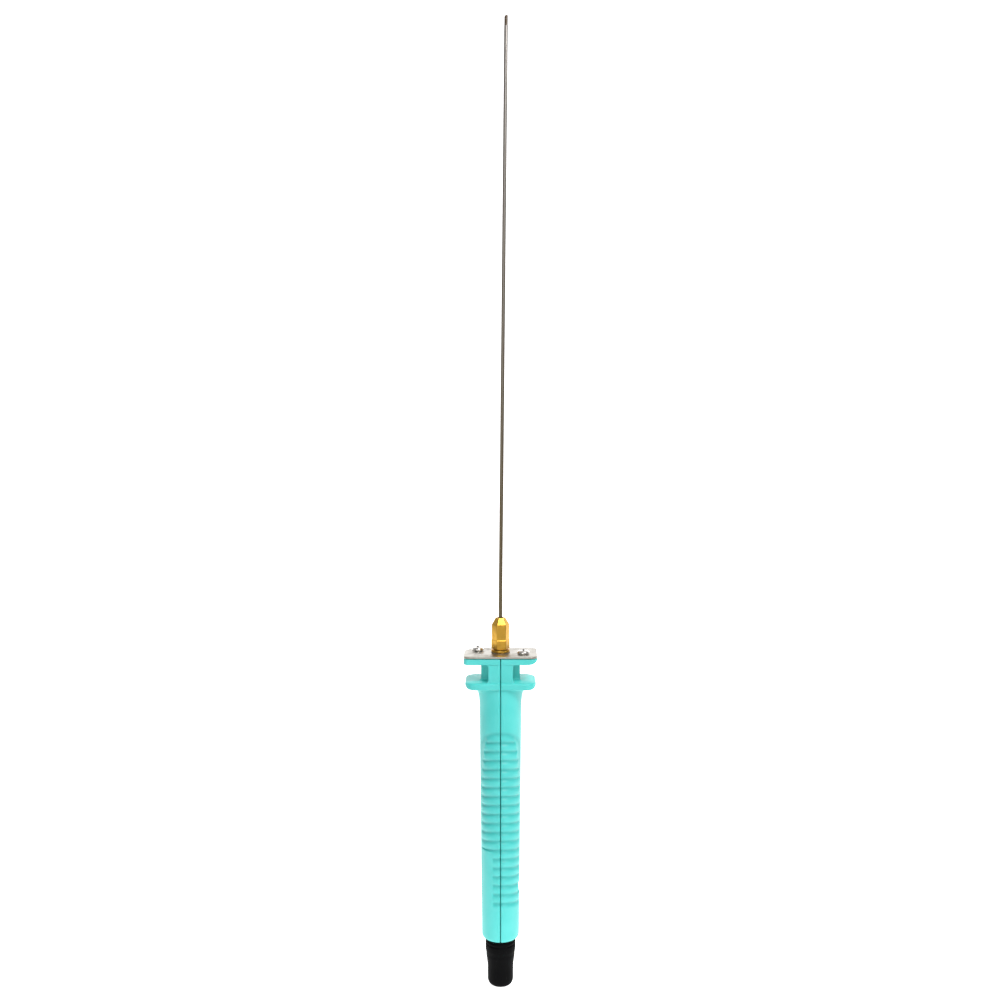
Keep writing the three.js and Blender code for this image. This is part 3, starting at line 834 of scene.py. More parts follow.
@dataclass
class Lofted:
    """A solid through a closed ring of stations, whole or one half of it beside a seam."""

    name: str
    stations: Sequence[Station]
    half: Half | None = None
    seam: float = 0.15
    inner_seam: float = 0.02
    seam_round: float = 0.5

    def angles(self) -> np.ndarray:
        """Directions of the columns, closer together at the seam and on the front."""
        if self.half is None:
            return np.radians(np.arange(0.0, 360.0, 1.5))
        beside = np.array([0.0, 0.2, 0.5, 0.9, 1.4, 2.0, 2.9])
        front = np.arange(-86.0, -15.0, 1.6)
        back = np.arange(-15.0, 86.5, 2.2)
        return np.radians(np.concatenate([beside - 90.0, front, back, 90.0 - beside[::-1]]))

    def ring(self, station: Station, angles: np.ndarray) -> list[Triple]:
        """The points of one station.

        Args:
            station: The station.
            angles: The columns' directions for a half on +X.

        Returns:
            Its points.
        """
        side = self.half.value if self.half else 1
        beside = self.seam if station.outer else self.inner_seam
        start = side * beside if self.half else 0.0
        turned = angles if side == 1 else math.pi - angles
        reach = station.outline.reach(start, turned)
        if self.half and station.outer:
            away = np.minimum(reach * np.cos(angles), self.seam_round)
            near = self.seam_round - away
            reach = reach - self.seam_round + np.sqrt(self.seam_round ** 2 - near ** 2)
        x = start + reach * np.cos(turned)
        y = reach * np.sin(turned)
        if self.half:
            x[0] = start
            x[-1] = start
        return [(float(a), float(b), station.z) for a, b in zip(x, y)]

    def build(self) -> bpy.types.Object:
        """Joins the stations' rings, and caps a half at its seam."""
        angles = self.angles()
        width = len(angles)
        count = len(self.stations)
        points = [point for station in self.stations for point in self.ring(station, angles)]
        around = width if self.half is None else width - 1
        faces = []
        for row in range(count):
            above = (row + 1) % count
            for i in range(around):
                j = (i + 1) % width
                faces.append((row * width + i, row * width + j, above * width + j, above * width + i))
        if self.half:
            faces.append(tuple(row * width for row in range(count)))
            faces.append(tuple(row * width + width - 1 for row in reversed(range(count))))
        return new_object(self.name, points, faces)


# ------------------------------------------------------------------ Geometry Nodes
class Shaper(Graph):
    """A Geometry Nodes tree with named inputs, ended in Realize Instances and Set Material."""

    def __init__(self, name: str) -> None:
        super().__init__(bpy.data.node_groups.new(name, "GeometryNodeTree"))
        self.identifiers: dict[str, str] = {}
        self.tree.interface.new_socket("Geometry", in_out="INPUT", socket_type="NodeSocketGeometry")
        self.tree.interface.new_socket("Geometry", in_out="OUTPUT", socket_type="NodeSocketGeometry")
        self.material = self.entry("Material", "NodeSocketMaterial")

    def entry(self, name: str, kind: str = "NodeSocketFloat") -> Signal:
        """Adds a named input.

        Args:
            name: The input's name.
            kind: Its socket type.

        Returns:
            The input as a signal.
        """
        made = self.tree.interface.new_socket(name, in_out="INPUT", socket_type=kind)
        self.identifiers[name] = made.identifier
        return Signal(self, self.node("NodeGroupInput").outputs[name])

    def geometry(self) -> bpy.types.NodeSocket:
        """The geometry that comes in."""
        return self.node("NodeGroupInput").outputs["Geometry"]

    def end(self, geometry: bpy.types.NodeSocket) -> None:
        """Ends the tree.

        Args:
            geometry: What the tree made.
        """
        real = self.node("GeometryNodeRealizeInstances", inputs={"Geometry": geometry})
        dressed = self.node(
            "GeometryNodeSetMaterial", inputs={"Geometry": real.outputs[0], "Material": self.material})
        output = self.node("NodeGroupOutput")
        self.tree.links.new(dressed.outputs[0], output.inputs["Geometry"])

    def moved(self, height: Signal, direction: bpy.types.NodeSocket) -> bpy.types.NodeSocket:
        """Moves the points along a direction.

        Args:
            height: How far, in metres.
            direction: The direction's socket.

        Returns:
            The moved geometry.
        """
        offset = self.node("ShaderNodeVectorMath", {"operation": "SCALE"}, {0: direction, "Scale": height})
        moved = self.node(
            "GeometryNodeSetPosition", inputs={"Geometry": self.geometry(), "Offset": offset.outputs[0]})
        return moved.outputs[0]

    def store(self, geometry: bpy.types.NodeSocket, name: str, value: Signal) -> bpy.types.NodeSocket:
        """Keeps a number on the points, for the material to read."""
        kept = self.node(
            "GeometryNodeStoreNamedAttribute", {"data_type": "FLOAT", "domain": "POINT"},
            {"Geometry": geometry, "Name": name, "Value": value})
        return kept.outputs[0]

    def apply(self, obj: bpy.types.Object, values: dict[str, object]) -> bpy.types.Object:
        """Runs the tree on an object.

        Args:
            obj: The object, which is replaced.
            values: The inputs' values by name.

        Returns:
            The plain mesh object.
        """
        modifier = obj.modifiers.new(self.tree.name, "NODES")
        modifier.node_group = self.tree
        for name, value in values.items():
            modifier[self.identifiers[name]] = value
        return baked(obj)


class GripRibs(Shaper):
    """Grooves across the front of the grip, and a dome-shaped groove above them."""

    def __init__(self) -> None:
        super().__init__("GripRibs")
        x, y, z = self.parts(self.node("GeometryNodeInputPosition").outputs[0])
        pitch = self.entry("Pitch")
        front = (y / self.entry("Front Softness") * -1.0).clamped()
        top = self.entry("Top")
        width = self.entry("Width")
        level = z + x * x * self.entry("Droop")
        row = ((top - level) / pitch).math("ROUND")
        row = row.math("MAXIMUM", 0.0).math("MINIMUM", self.entry("Count") - 1.0)
        centre = top - row * pitch
        off_centre = (level - centre).math("ABSOLUTE")
        groove = (1.0 - off_centre / (width * 0.5)).ramp(0.0, 1.0)
        full = (self.entry("Top Half Width") + row * self.entry("Widening")).math(
            "MINIMUM", self.entry("Half Width"))
        low_left = z.math("LESS_THAN", self.entry("Short From")) * x.math("LESS_THAN", 0.0)
        half = full + low_left * (self.entry("Short Half Width") - full)
        inside = ((half - x.math("ABSOLUTE")) / self.entry("End Softness") + 0.5).clamped()
        wave = (off_centre / pitch * math.pi).math("SINE")
        near = (2.0 - off_centre / (pitch * 0.5)).clamped()
        ridge = wave * wave * near * self.entry("Ridge")
        depth = self.entry("Depth")
        ribs = groove * inside * front
        above = (z - self.entry("Dome Height")).math("MAXIMUM", 0.0)
        square = self.entry("Squareness")
        across = x.math("ABSOLUTE").math("POWER", square) + above.math("POWER", square)
        across = across.math("POWER", 1.0 / square)
        off_dome = (across - self.entry("Dome Radius")).math("ABSOLUTE")
        faded = ((z - self.entry("Dome Foot")) / (pitch * 2.0)).clamped()
        dome = (1.0 - off_dome / (width * 0.5)).clamped() * faded * front
        cut_depth = (ribs * depth).math("MAXIMUM", dome * depth * 0.75)
        skin = (x * x + y * y).math("SQRT").math("GREATER_THAN", self.entry("Skin Radius"))
        height = (ridge * inside * front - cut_depth) * skin
        outwards = self.node("ShaderNodeVectorMath", {"operation": "NORMALIZE"}, {0: self.joined(x, y, 0.0)})
        moved = self.moved(height, outwards.outputs[0])
        # The stored recess mask tells the handle's material where to paint shade in the grooves.
        self.end(self.store(moved, "recess", skin * ribs.math("MAXIMUM", dome * 0.8)))


class Thread(Shaper):
    """A screw thread cut into a round shank that stands along Z or X."""

    def __init__(self, axis: Axis) -> None:
        super().__init__("Thread_" + axis.value)
        x, y, z = self.parts(self.node("GeometryNodeInputPosition").outputs[0])
        side, up, along = (x, y, z) if axis is Axis.UP else (z, y, x)
        side = side - self.entry("Centre Side")
        up = up - self.entry("Centre Up")
        turn = up.math("ARCTAN2", side) / (2 * math.pi)
        phase = (along / self.entry("Pitch") - turn).math("FRACT")
        tooth = 1.0 - (phase * 2.0 - 1.0).math("ABSOLUTE")
        fade = self.entry("Fade")
        from_foot = ((along - self.entry("From")) / fade).clamped()
        from_head = ((self.entry("To") - along) / fade).clamped()
        radius = (side * side + up * up).math("SQRT")
        shank = (1.0 - (radius - self.entry("Shank Radius")).math("ABSOLUTE") / (fade * 0.2)).clamped()
        height = tooth * from_foot * from_head * shank * self.entry("Depth") * -1.0
        flat = self.joined(side, up, 0.0) if axis is Axis.UP else self.joined(0.0, up, side)
        outwards = self.node("ShaderNodeVectorMath", {"operation": "NORMALIZE"}, {0: flat})
        self.end(self.moved(height, outwards.outputs[0]))


class Sweep(Shaper):
    """A round rod along a curve."""

    def __init__(self) -> None:
        super().__init__("Sweep")
        ring = self.node(
            "GeometryNodeCurvePrimitiveCircle", {"mode": "RADIUS"},
            {"Resolution": self.entry("Sides", "NodeSocketInt"), "Radius": self.entry("Radius")})
        rod = self.node(
            "GeometryNodeCurveToMesh",
            inputs={"Curve": self.geometry(), "Profile Curve": ring.outputs[0], "Fill Caps": True})
        self.end(rod.outputs[0])

    def along(
        self, name: str, points: Sequence[Triple], radius: float, finish: Finish, sides: int = 24
    ) -> bpy.types.Object:
        """Sweeps a rod.

        Args:
            name: The piece's name.
            points: The centre line, in millimetres.
            radius: The rod's radius, in millimetres.
            finish: Its finish.
            sides: Sides of the rod.

        Returns:
            The rod.
        """
        curve = bpy.data.curves.new(name, "CURVE")
        curve.dimensions = "3D"
        line = curve.splines.new("POLY")
        line.points.add(len(points) - 1)
        for spot, point in zip(line.points, points):
            spot.co = (*(value * MM for value in point), 1.0)
        path = bpy.data.objects.new(name, curve)
        bpy.context.scene.collection.objects.link(path)
        made = self.apply(path, {"Material": finish.material(), "Sides": sides, "Radius": radius * MM})
        recalculated(made.data)
        return made


def finished(
    obj: bpy.types.Object, body: Body, finish: Finish, *nodes: str, crease: float = 32.0
) -> bpy.types.Object:
    """Dresses a piece and hands it to its body.

    Args:
        obj: The piece.
        body: The body it rides on.
        finish: Its finish.
        nodes: The CAD nodes that it stands for.
        crease: Edges sharper than this many degrees stay sharp.

    Returns:
        The piece.
    """
    obj.data.materials.clear()
    obj.data.materials.append(finish.material())
    obj.data.shade_smooth()
    obj.data.set_sharp_from_angle(angle=math.radians(crease))
    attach(obj, body.value)
    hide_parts(*nodes)
    log.info("%s: %d faces on %s", obj.name, len(obj.data.polygons), body.value)
    return obj


def cylinder(
    name: str, radius: float, low: float, high: float, at: Triple, axis: Axis = Axis.UP
) -> bpy.types.Object:
    """A round cutter between two heights along its axis."""
    return Turned(name, [(0, low), (radius, low), (radius, high), (0, high)], axis=axis, at=at).build()


def block(
    name: str, low: Triple, high: Triple, turn: Matrix | None = None, at: Triple = (0, 0, 0)
) -> bpy.types.Object:
    """A block between two corners, turned and then moved."""
    spread = [(x, y, z) for x in (low[0], high[0]) for y in (low[1], high[1]) for z in (low[2], high[2])]
    faces = [(0, 1, 3, 2), (4, 6, 7, 5), (0, 4, 5, 1), (2, 3, 7, 6), (0, 2, 6, 4), (1, 5, 7, 3)]
    turned = [(turn @ Vector(point) if turn else Vector(point)) + Vector(at) for point in spread]
    return new_object(name, [tuple(point) for point in turned], faces)


def refined(points: Sequence[Point], low: float, high: float, longest: float) -> list[Point]:
    """Splits a profile's upright stretches between two heights into short steps.

    Args:
        points: The profile.
        low: The lower height.
        high: The upper height.
        longest: The longest step left.

    Returns:
        The refined profile.
    """
    made: list[Point] = []
    for start, end in zip(points, points[1:]):
        made.append(start)
        count = math.ceil(abs(end[1] - start[1]) / longest)
        if abs(end[0] - start[0]) > 1e-6 or min(start[1], end[1]) < low or max(start[1], end[1]) > high:
            continue
        made += [(start[0], height) for height in steps(start[1], end[1], count)[1:-1]]
    made.append(points[-1])
    return made


def smooth_route(points: Sequence[Triple], each: int = 10) -> list[Triple]:
    """A centripetal curve through a route's points.

    Args:
        points: The points to pass through.
        each: Steps between two of them.

    Returns:
        The curve's points.
    """
    knots = [Vector(point) for point in points]
    knots.insert(0, 2 * knots[0] - knots[1])
    knots.append(2 * knots[-1] - knots[-2])
    made: list[Triple] = []
    for i in range(1, len(knots) - 2):
        four = knots[i - 1:i + 3]
        times = [0.0]
        for start, end in zip(four, four[1:]):
            times.append(times[-1] + math.sqrt((end - start).length))
        for t in steps(times[1], times[2], each)[:-1]:
            level = four
            for width in (1, 2, 3):
                level = [
                    level[k].lerp(level[k + 1], (t - times[k]) / (times[k + width] - times[k]))
                    if width < 3 else level[k].lerp(level[k + 1], (t - times[1]) / (times[2] - times[1]))
                    for k in range(len(level) - 1)]
            made.append(tuple(level[0]))
    made.append(tuple(knots[-2]))
    return made


# ------------------------------------------------------------------ the handle
@dataclass
class Grooves:
    """Sizes of the grooves across the grip, and of the dome-shaped groove above them."""

    pitch: float = 3.894
    count: int = 19
    drop: float = 36.2
    width: float = 2.7
    depth: float = 0.50
    ridge: float = 0.16
    half_width: float = 8.0
    top_half_width: float = 6.3
    widening: float = 0.85
    short_drop: float = 83.5
    short_half_width: float = 3.3
    front_softness: float = 1.2
    end_softness: float = 0.8
    skin_inset: float = 0.6
    droop: float = 0.014
    dome_drop: float = 4.2
    dome_radius: float = 8.1
    dome_foot_drop: float = 17.0
    squareness: float = 2.45

    def values(self, top: float, inner_radius: float) -> dict[str, object]:
        """Values for the inputs of the tree that cuts the grooves.

        Args:
            top: Height of the handle's top.
            inner_radius: Radius that only the outer skin lies outside of.

        Returns:
            Each input's value, by its name.
        """
        first = top - self.drop
        sizes = {
            "Pitch": self.pitch, "Top": first, "Width": self.width, "Depth": self.depth,
            "Ridge": self.ridge, "Front Softness": self.front_softness, "End Softness": self.end_softness,
            "Half Width": self.half_width, "Top Half Width": self.top_half_width,
            "Widening": self.widening, "Short From": top - self.short_drop,
            "Short Half Width": self.short_half_width, "Dome Height": first - self.dome_drop,
            "Dome Radius": self.dome_radius, "Dome Foot": first - self.dome_foot_drop,
            "Skin Radius": inner_radius - self.skin_inset,
        }
        made: dict[str, object] = {key: value * MM for key, value in sizes.items()}
        made["Count"] = float(self.count)
        made["Squareness"] = self.squareness
        made["Droop"] = self.droop / MM
        made["Material"] = TEAL.material()
        return made


@dataclass
class Handle:
    """The two moulded halves: rim, ribbed grip, flare, flanges and neck."""

    grip_top: float = 9.0
    grip_foot: float = 8.05
    wall: float = 1.8
    rim_corner: float = 1.8
    flare_height: float = 7.6
    flare_reach: float = 2.5
    flare_turn: Point = (0.3, 1.0)
    lower: Rectangle = Rectangle(30.0, 20.0, (5.0, 5.0, 5.0, 5.0))
    upper: Rectangle = Rectangle(31.1, 20.0, (3.0, 3.0, 8.0, 2.0))
    neck_block: Rectangle = Rectangle(10.5, 19.4)
    neck_web: Rectangle = Rectangle(16.6, 6.4)
    lower_thick: float = 3.0
    upper_thick: float = 2.4
    neck_height: float = 7.9
    head_floor: float = 3.6
    lower_edge: float = 0.9
    flare_depth: float = 0.1
    under_length: float = 3.3
    under_height: float = 2.0
    upper_edge: float = 0.35
    neck_fillet: float = 1.1
    sweep_length: float = 5.0
    sweep_height: float = 2.1
    head_bore: float = 3.9
    lip_opening: float = 5.7
    ledge_opening: float = 5.2
    jack_opening: float = 4.8
    ledge: float = 1.3
    pocket_rise: float = 7.3
    pocket_reach: float = 0.7
    neck_corner: float = 1.0
    screw_rise: float = 22.2
    screw_seat: float = 5.15
    counterbore: float = 3.0
    counterbore_end: float = 12.0
    screw_hole: float = 1.5
    boss_radius: float = 2.4
    boss_seam: float = 0.15
    boss_reach: float = 6.9
    boss_blind_end: float = 5.6
    seat_floor: float = 1.5
    seat_wall: float = 0.9
    plate_screw: Point = (9.75, -3.6)
    grooves: Grooves = field(default_factory=Grooves)
    span: Span = field(default_factory=lambda: Span.of("right_handle_shell"))

    @property
    def rim(self) -> float:
        """Height of the handle's lower end."""
        return self.span.low.z

    @property
    def top(self) -> float:
        """Height of the upper flange's top."""
        return self.span.high.z

    def grip_radius(self, z: float) -> float:
        """Outer radius of the tapered grip."""
        foot = self.rim + self.rim_corner
        share = (z - foot) / (self.flare_foot - foot)
        return self.grip_foot + (self.grip_top - self.grip_foot) * min(max(share, 0.0), 1.0)

    @property
    def neck_top(self) -> float:
        """Height of the neck's upper end."""
        return self.top - self.upper_thick

    @property
    def neck_foot(self) -> float:
        """Height of the neck's lower end."""
        return self.neck_top - self.neck_height

    @property
    def flare_top(self) -> float:
        """Height of the lower flange's underside."""
        return self.neck_foot - self.lower_thick

    @property
    def flare_foot(self) -> float:
        """Height where the grip starts to flare."""
        return self.flare_top - self.flare_height

    def grip(self) -> list[Station]:
        """Rim, grip and flare, from the bottom up."""
        corner = self.rim_corner
        made = []
        for angle in steps(-math.pi / 2, 0.0, 8):
            radius = self.grip_foot - corner + corner * math.cos(angle)
            made.append(Station(self.rim + corner + corner * math.sin(angle), Disc(radius), True))
        longest = 0.3
        pitch = self.grooves.pitch
        first_groove = self.top - self.grooves.drop
        ribs_foot = first_groove - pitch * self.grooves.count
        ribs_top = first_groove + 2.5 * pitch
        heights = steps(self.rim + corner, ribs_foot, 8)[1:]
        heights += steps(ribs_foot, ribs_top, round((ribs_top - ribs_foot) / longest))[1:]
        heights += steps(ribs_top, self.flare_foot, 6)[1:]
        made += [Station(z, Disc(self.grip_radius(z)), True) for z in heights]
        start = Vector((self.grip_top, self.flare_foot))
        turn_reach, turn_drop = self.flare_turn
        bend = Vector((self.grip_top + turn_reach, self.flare_top - turn_drop))
        end = Vector((self.grip_top + self.flare_reach, self.flare_top))
        for share in steps(0.0, 1.0, 14)[1:]:
            spot = start.lerp(bend, share).lerp(bend.lerp(end, share), share)
            depth = self.grip_top + self.flare_depth * share * share
            made.append(Station(spot.y, Oval(spot.x, depth), True))
        return made

    def head(self) -> list[Station]:
        """Flanges and neck, from the bottom up."""
        edge = self.lower_edge
        rises = steps(0.0, edge, 6)
        made = []
        for share in steps(0.0, 1.0, 10):
            rise = self.under_height * share * share
            level = 1.0 - rise / self.under_height
            limit = self.lower.width / 2 - self.under_length * (1.0 - math.sqrt(1.0 - level * level))
            whole = self.lower.grown(-edge_inset(rise, edge))
            made.append(Station(self.flare_top + rise, Narrowed(whole, limit), True))
        made += [
            Station(self.neck_foot - rise, self.lower.grown(-edge_inset(rise, edge)), True)
            for rise in reversed(rises)]
        neck = Joined(self.neck_block, self.neck_web, self.neck_corner)
        flange_top = self.lower.grown(-edge)
        end_x = self.upper.width / 2
        flange_foot = ShortOf(self.upper.grown(-self.upper_edge), end_x - self.sweep_length)
        for rise in steps(0.0, self.neck_fillet, 6):
            wide = neck.grown(edge_inset(rise, self.neck_fillet))
            made.append(Station(self.neck_foot + rise, Kept(wide, flange_top), True))
        for drop in reversed(steps(0.0, self.neck_fillet, 6)):
            wide = neck.grown(edge_inset(drop, self.neck_fillet))
            made.append(Station(self.neck_top - drop, Kept(wide, flange_foot), True))
        for share in steps(0.0, 1.0, 14):
            rise = self.sweep_height * share * share
            level = (self.sweep_height - rise) / self.sweep_height
            limit = end_x - self.sweep_length * (1.0 - math.sqrt(max(1.0 - level * level, 0.0)))
            whole = self.upper.grown(-edge_inset(rise, self.upper_edge))
            made.append(Station(self.neck_top + rise, ShortOf(whole, limit), True))
        top_edge = self.upper_edge * 0.8
        for drop in reversed(steps(0.0, top_edge, 3)):
            inset = edge_inset(drop, top_edge)
            made.append(Station(self.top - drop, self.upper.grown(-inset), True))
        return made

    def hollow(self) -> list[Station]:
        """Bore, cavity and ledges, from the top down."""
        holder = Span.of("contact_holder")
        ceiling = self.neck_foot - self.head_floor
        cavity = self.grip_top - self.wall
        made = [
            Station(self.top, Disc(self.head_bore + GAP)),
            Station(self.top - GAP, Disc(self.head_bore)),
            Station(ceiling, Disc(self.head_bore)),
            Station(ceiling, Disc(cavity)),
            Station(self.flare_foot, Disc(cavity)),
        ]
        pocket_top = self.rim + self.pocket_rise
        ledges = [
            (holder.high.z + GAP + self.ledge, holder.high.z + GAP, self.ledge_opening),
            (holder.low.z - GAP, holder.low.z - GAP - self.ledge, self.ledge_opening),
            (pocket_top + self.ledge, pocket_top, self.jack_opening),
        ]
        for upper, lower, opening in ledges:
            made.append(Station(upper, Disc(self.grip_radius(upper) - self.wall)))
            made += [Station(upper, Disc(opening)), Station(lower, Disc(opening))]
            if lower > pocket_top:
                made.append(Station(lower, Disc(self.grip_radius(lower) - self.wall)))
        pocket = self.lip_opening + self.pocket_reach
        lip_top = self.rim + self.rim_corner
        made += [Station(pocket_top, Disc(pocket)), Station(lip_top, Disc(pocket))]
        return made + [Station(lip_top, Disc(self.lip_opening)), Station(self.rim, Disc(self.lip_opening))]

    def boss(self, half: Half) -> bpy.types.Object:
        """The boss round the handle screw inside one half."""
        screw = self.screw_hole
        outer = self.boss_radius
        seam = self.boss_seam
        wall_x = self.boss_reach
        blind = -self.boss_blind_end
        if half is Half.LEFT:
            profile = [
                (0, -wall_x), (outer, -wall_x), (outer, -seam), (screw, -seam), (screw, blind), (0, blind)]
        else:
            step_x = self.screw_seat - self.seat_floor
            rim = self.counterbore + self.seat_wall
            profile = [
                (screw, seam), (outer, seam), (outer, step_x), (rim, step_x), (rim, wall_x),
                (self.counterbore, wall_x), (self.counterbore, self.screw_seat), (screw, self.screw_seat)]
        at = (0.0, 0.0, self.rim + self.screw_rise)
        return Turned("boss", profile, half is Half.RIGHT, 40, Axis.RIGHT, at).build()

    def half(self, half: Half, ribs: GripRibs) -> bpy.types.Object:
        """Builds one half.

        Args:
            half: Which half.
            ribs: The tree that cuts the grip's grooves.

        Returns:
            The finished shell.
        """
        name = f"{half.name.lower()}_handle_shell"
        shell = Lofted("moulded_" + name, self.grip() + self.head() + self.hollow(), half).build()
        shell = ribs.apply(shell, self.grooves.values(self.top, self.grip_foot))
        x, y = self.plate_screw
        side = half.value
        at = (side * x, side * y, 0.0)
        cutters = [cylinder("hole", self.screw_hole, self.neck_top - 1.0, self.top + 1.0, at)]
        if half is Half.RIGHT:
            at = (0.0, 0.0, self.rim + self.screw_rise)
            cutters.append(cylinder(
                "counterbore", self.counterbore, self.screw_seat, self.counterbore_end, at, Axis.RIGHT))
        shell = cut(shell, cutters)
        shell = joined_meshes(name, [shell, self.boss(half)])
        return finished(shell, Body.HANDLE, TEAL, name)

    def build(self) -> None:
        """Builds both halves."""
        ribs = GripRibs()
        for half in Half:
            self.half(half, ribs)


# ------------------------------------------------------------------ screws and plate
@dataclass
class PanScrew:
    """A pan-head screw with a cross recess and a cut thread."""

    node: str
    foot: Triple
    head_radius: float
    head_height: float
    shank: float
    axis: Axis = Axis.UP
    shank_radius: float = 1.2
    pitch: float = 0.8
    thread_depth: float = 0.22
    point_share: float = 0.35
    point_length: float = 1.2
    skirt: float = 0.3
    crown_power: float = 0.6
    recess_top: Triple = (0.3, 0.74, 0.44)
    recess_floor: Triple = (-0.95, 0.28, 0.16)
    recess_skin: float = 0.06

    def recess(self) -> bpy.types.Object:
        """The tapering cross that is cut into the head."""
        points: list[Triple] = []
        for rise, reach, half in (self.recess_top, self.recess_floor):
            z = self.head_height + rise
            arm = reach * self.head_radius
            for turn in range(4):
                angle = turn * math.pi / 2
                for a, b in ((half, -half), (arm, -half), (arm, half)):
                    x = a * math.cos(angle) - b * math.sin(angle)
                    y = a * math.sin(angle) + b * math.cos(angle)
                    points.append((x, y, z))
        sides = [(i, (i + 1) % 12, 12 + (i + 1) % 12, 12 + i) for i in range(12)]
        if self.axis is Axis.RIGHT:
            points = [(z, y, -x) for x, y, z in points]
        placed = [tuple(map(sum, zip(point, self.foot))) for point in points]
        return new_object("recess", placed, [tuple(range(12)), tuple(range(12, 24)), *sides])

    def build(self) -> bpy.types.Object:
        """Turns the screw, threads it and cuts its recess."""
        tall = self.head_height
        skirt = self.skirt * tall
        crown = [
            (self.head_radius * math.cos(a) ** self.crown_power, skirt + (tall - skirt) * math.sin(a))
            for a in steps(0.0, math.pi / 2, 9)[1:-1]]
        rim = rounded([
            (0, -self.shank), (self.shank_radius * self.point_share, -self.shank),
            (self.shank_radius, self.point_length - self.shank),
            (self.shank_radius, 0), (self.head_radius, 0), (self.head_radius, skirt)], 0.15)
        profile = refined(rim, -self.shank, 0.0, self.pitch / 8) + crown + [(0.0, tall)]
        screw = Turned(self.node + "_blank", profile, sides=48, axis=self.axis, at=self.foot).build()
        upright = self.axis is Axis.UP
        start = self.foot[2] if upright else self.foot[0]
        values: dict[str, object] = {
            "Centre Side": (self.foot[0] if upright else self.foot[2]) * MM,
            "Centre Up": self.foot[1] * MM,
            "Pitch": self.pitch * MM,
            "Fade": 0.5 * MM,
            "From": (start - self.shank) * MM,
            "To": (start - GAP) * MM,
            "Shank Radius": self.shank_radius * MM,
            "Depth": self.thread_depth * MM,
            "Material": SCREW_STEEL.material(),
        }
        screw = cut(Thread(self.axis).apply(screw, values), [self.recess()])
        screw.name = self.node
        screw = finished(screw, Body.HANDLE, SCREW_STEEL, self.node)
        self.paint_recess_shade(screw)
        return screw

    def paint_recess_shade(self, screw: bpy.types.Object) -> None:
        """Paints shade on the faces inside the cross recess with a second, dark steel finish."""
        screw.data.materials.append(PAINTED_RECESS_SHADE.material())
        for face in screw.data.polygons:
            x, y, z = (value / MM - start for value, start in zip(face.center, self.foot))
            height, reach = (z, math.hypot(x, y)) if self.axis is Axis.UP else (x, math.hypot(y, z))
            share = min(reach / self.head_radius, 1.0) ** (1 / self.crown_power)
            crown = self.head_height * (self.skirt + (1.0 - self.skirt) * math.sqrt(1.0 - share * share))
            in_recess = 0.2 < height < crown - self.recess_skin
            if in_recess and reach < 0.8 * self.head_radius:
                face.material_index = 1


@dataclass
class Head:
    """The steel plate on the upper flange, and its two screws."""

    handle: Handle
    bore: float = 3.9
    edge: float = 0.18
    bore_edge: float = 0.12
    hole: float = 1.5
    head_radius: float = 2.65
    head_height: float = 1.5

    def plate(self) -> bpy.types.Object:
        """The plate, its edges eased, with a bore and two holes."""
        span = Span.of("face_plate")
        outline = self.handle.upper
        rises = steps(0.0, self.edge, 3)
        stations = [
            Station(span.low.z + rise, outline.grown(-edge_inset(rise, self.edge))) for rise in rises]
        stations += [
            Station(span.high.z - rise, outline.grown(-edge_inset(rise, self.edge)))
            for rise in reversed(rises)]
        stations += [
            Station(span.high.z, Disc(self.bore + self.bore_edge)),
            Station(span.high.z - self.bore_edge, Disc(self.bore)),
            Station(span.low.z, Disc(self.bore))]
        plate = Lofted("sheet", stations).build()
        x, y = self.handle.plate_screw
        holes = [
            cylinder("hole", self.hole, span.low.z - 1, span.high.z + 1, (side * x, side * y, 0.0))
            for side in (1, -1)]
        plate = cut(plate, holes)
        plate.name = "face_plate"
        return finished(plate, Body.HANDLE, PLATE_STEEL, "face_plate")

    def build(self) -> None:
        """Builds the plate and its screws."""
        self.plate()
        x, y = self.handle.plate_screw
        for node, side in (("plate_screw_front_right", 1), ("plate_screw_rear_left", -1)):
            span = Span.of(node)
            foot_z = span.high.z - self.head_height
            PanScrew(
                node, (side * x, side * y, foot_z), self.head_radius, self.head_height,
                foot_z - span.low.z).build()


@dataclass
class HandleScrew:
    """The screw that draws the two halves together, driven from +X."""

    handle: Handle
    head_radius: float = 2.4
    head_height: float = 1.7

    def build(self) -> bpy.types.Object:
        """Builds the screw in its counterbore."""
        span = Span.of("handle_screw")
        foot_x = span.high.x - self.head_height
        at = (foot_x, 0.0, self.handle.rim + self.handle.screw_rise)
        return PanScrew(
            "handle_screw", at, self.head_radius, self.head_height, foot_x - span.low.x, Axis.RIGHT).build()


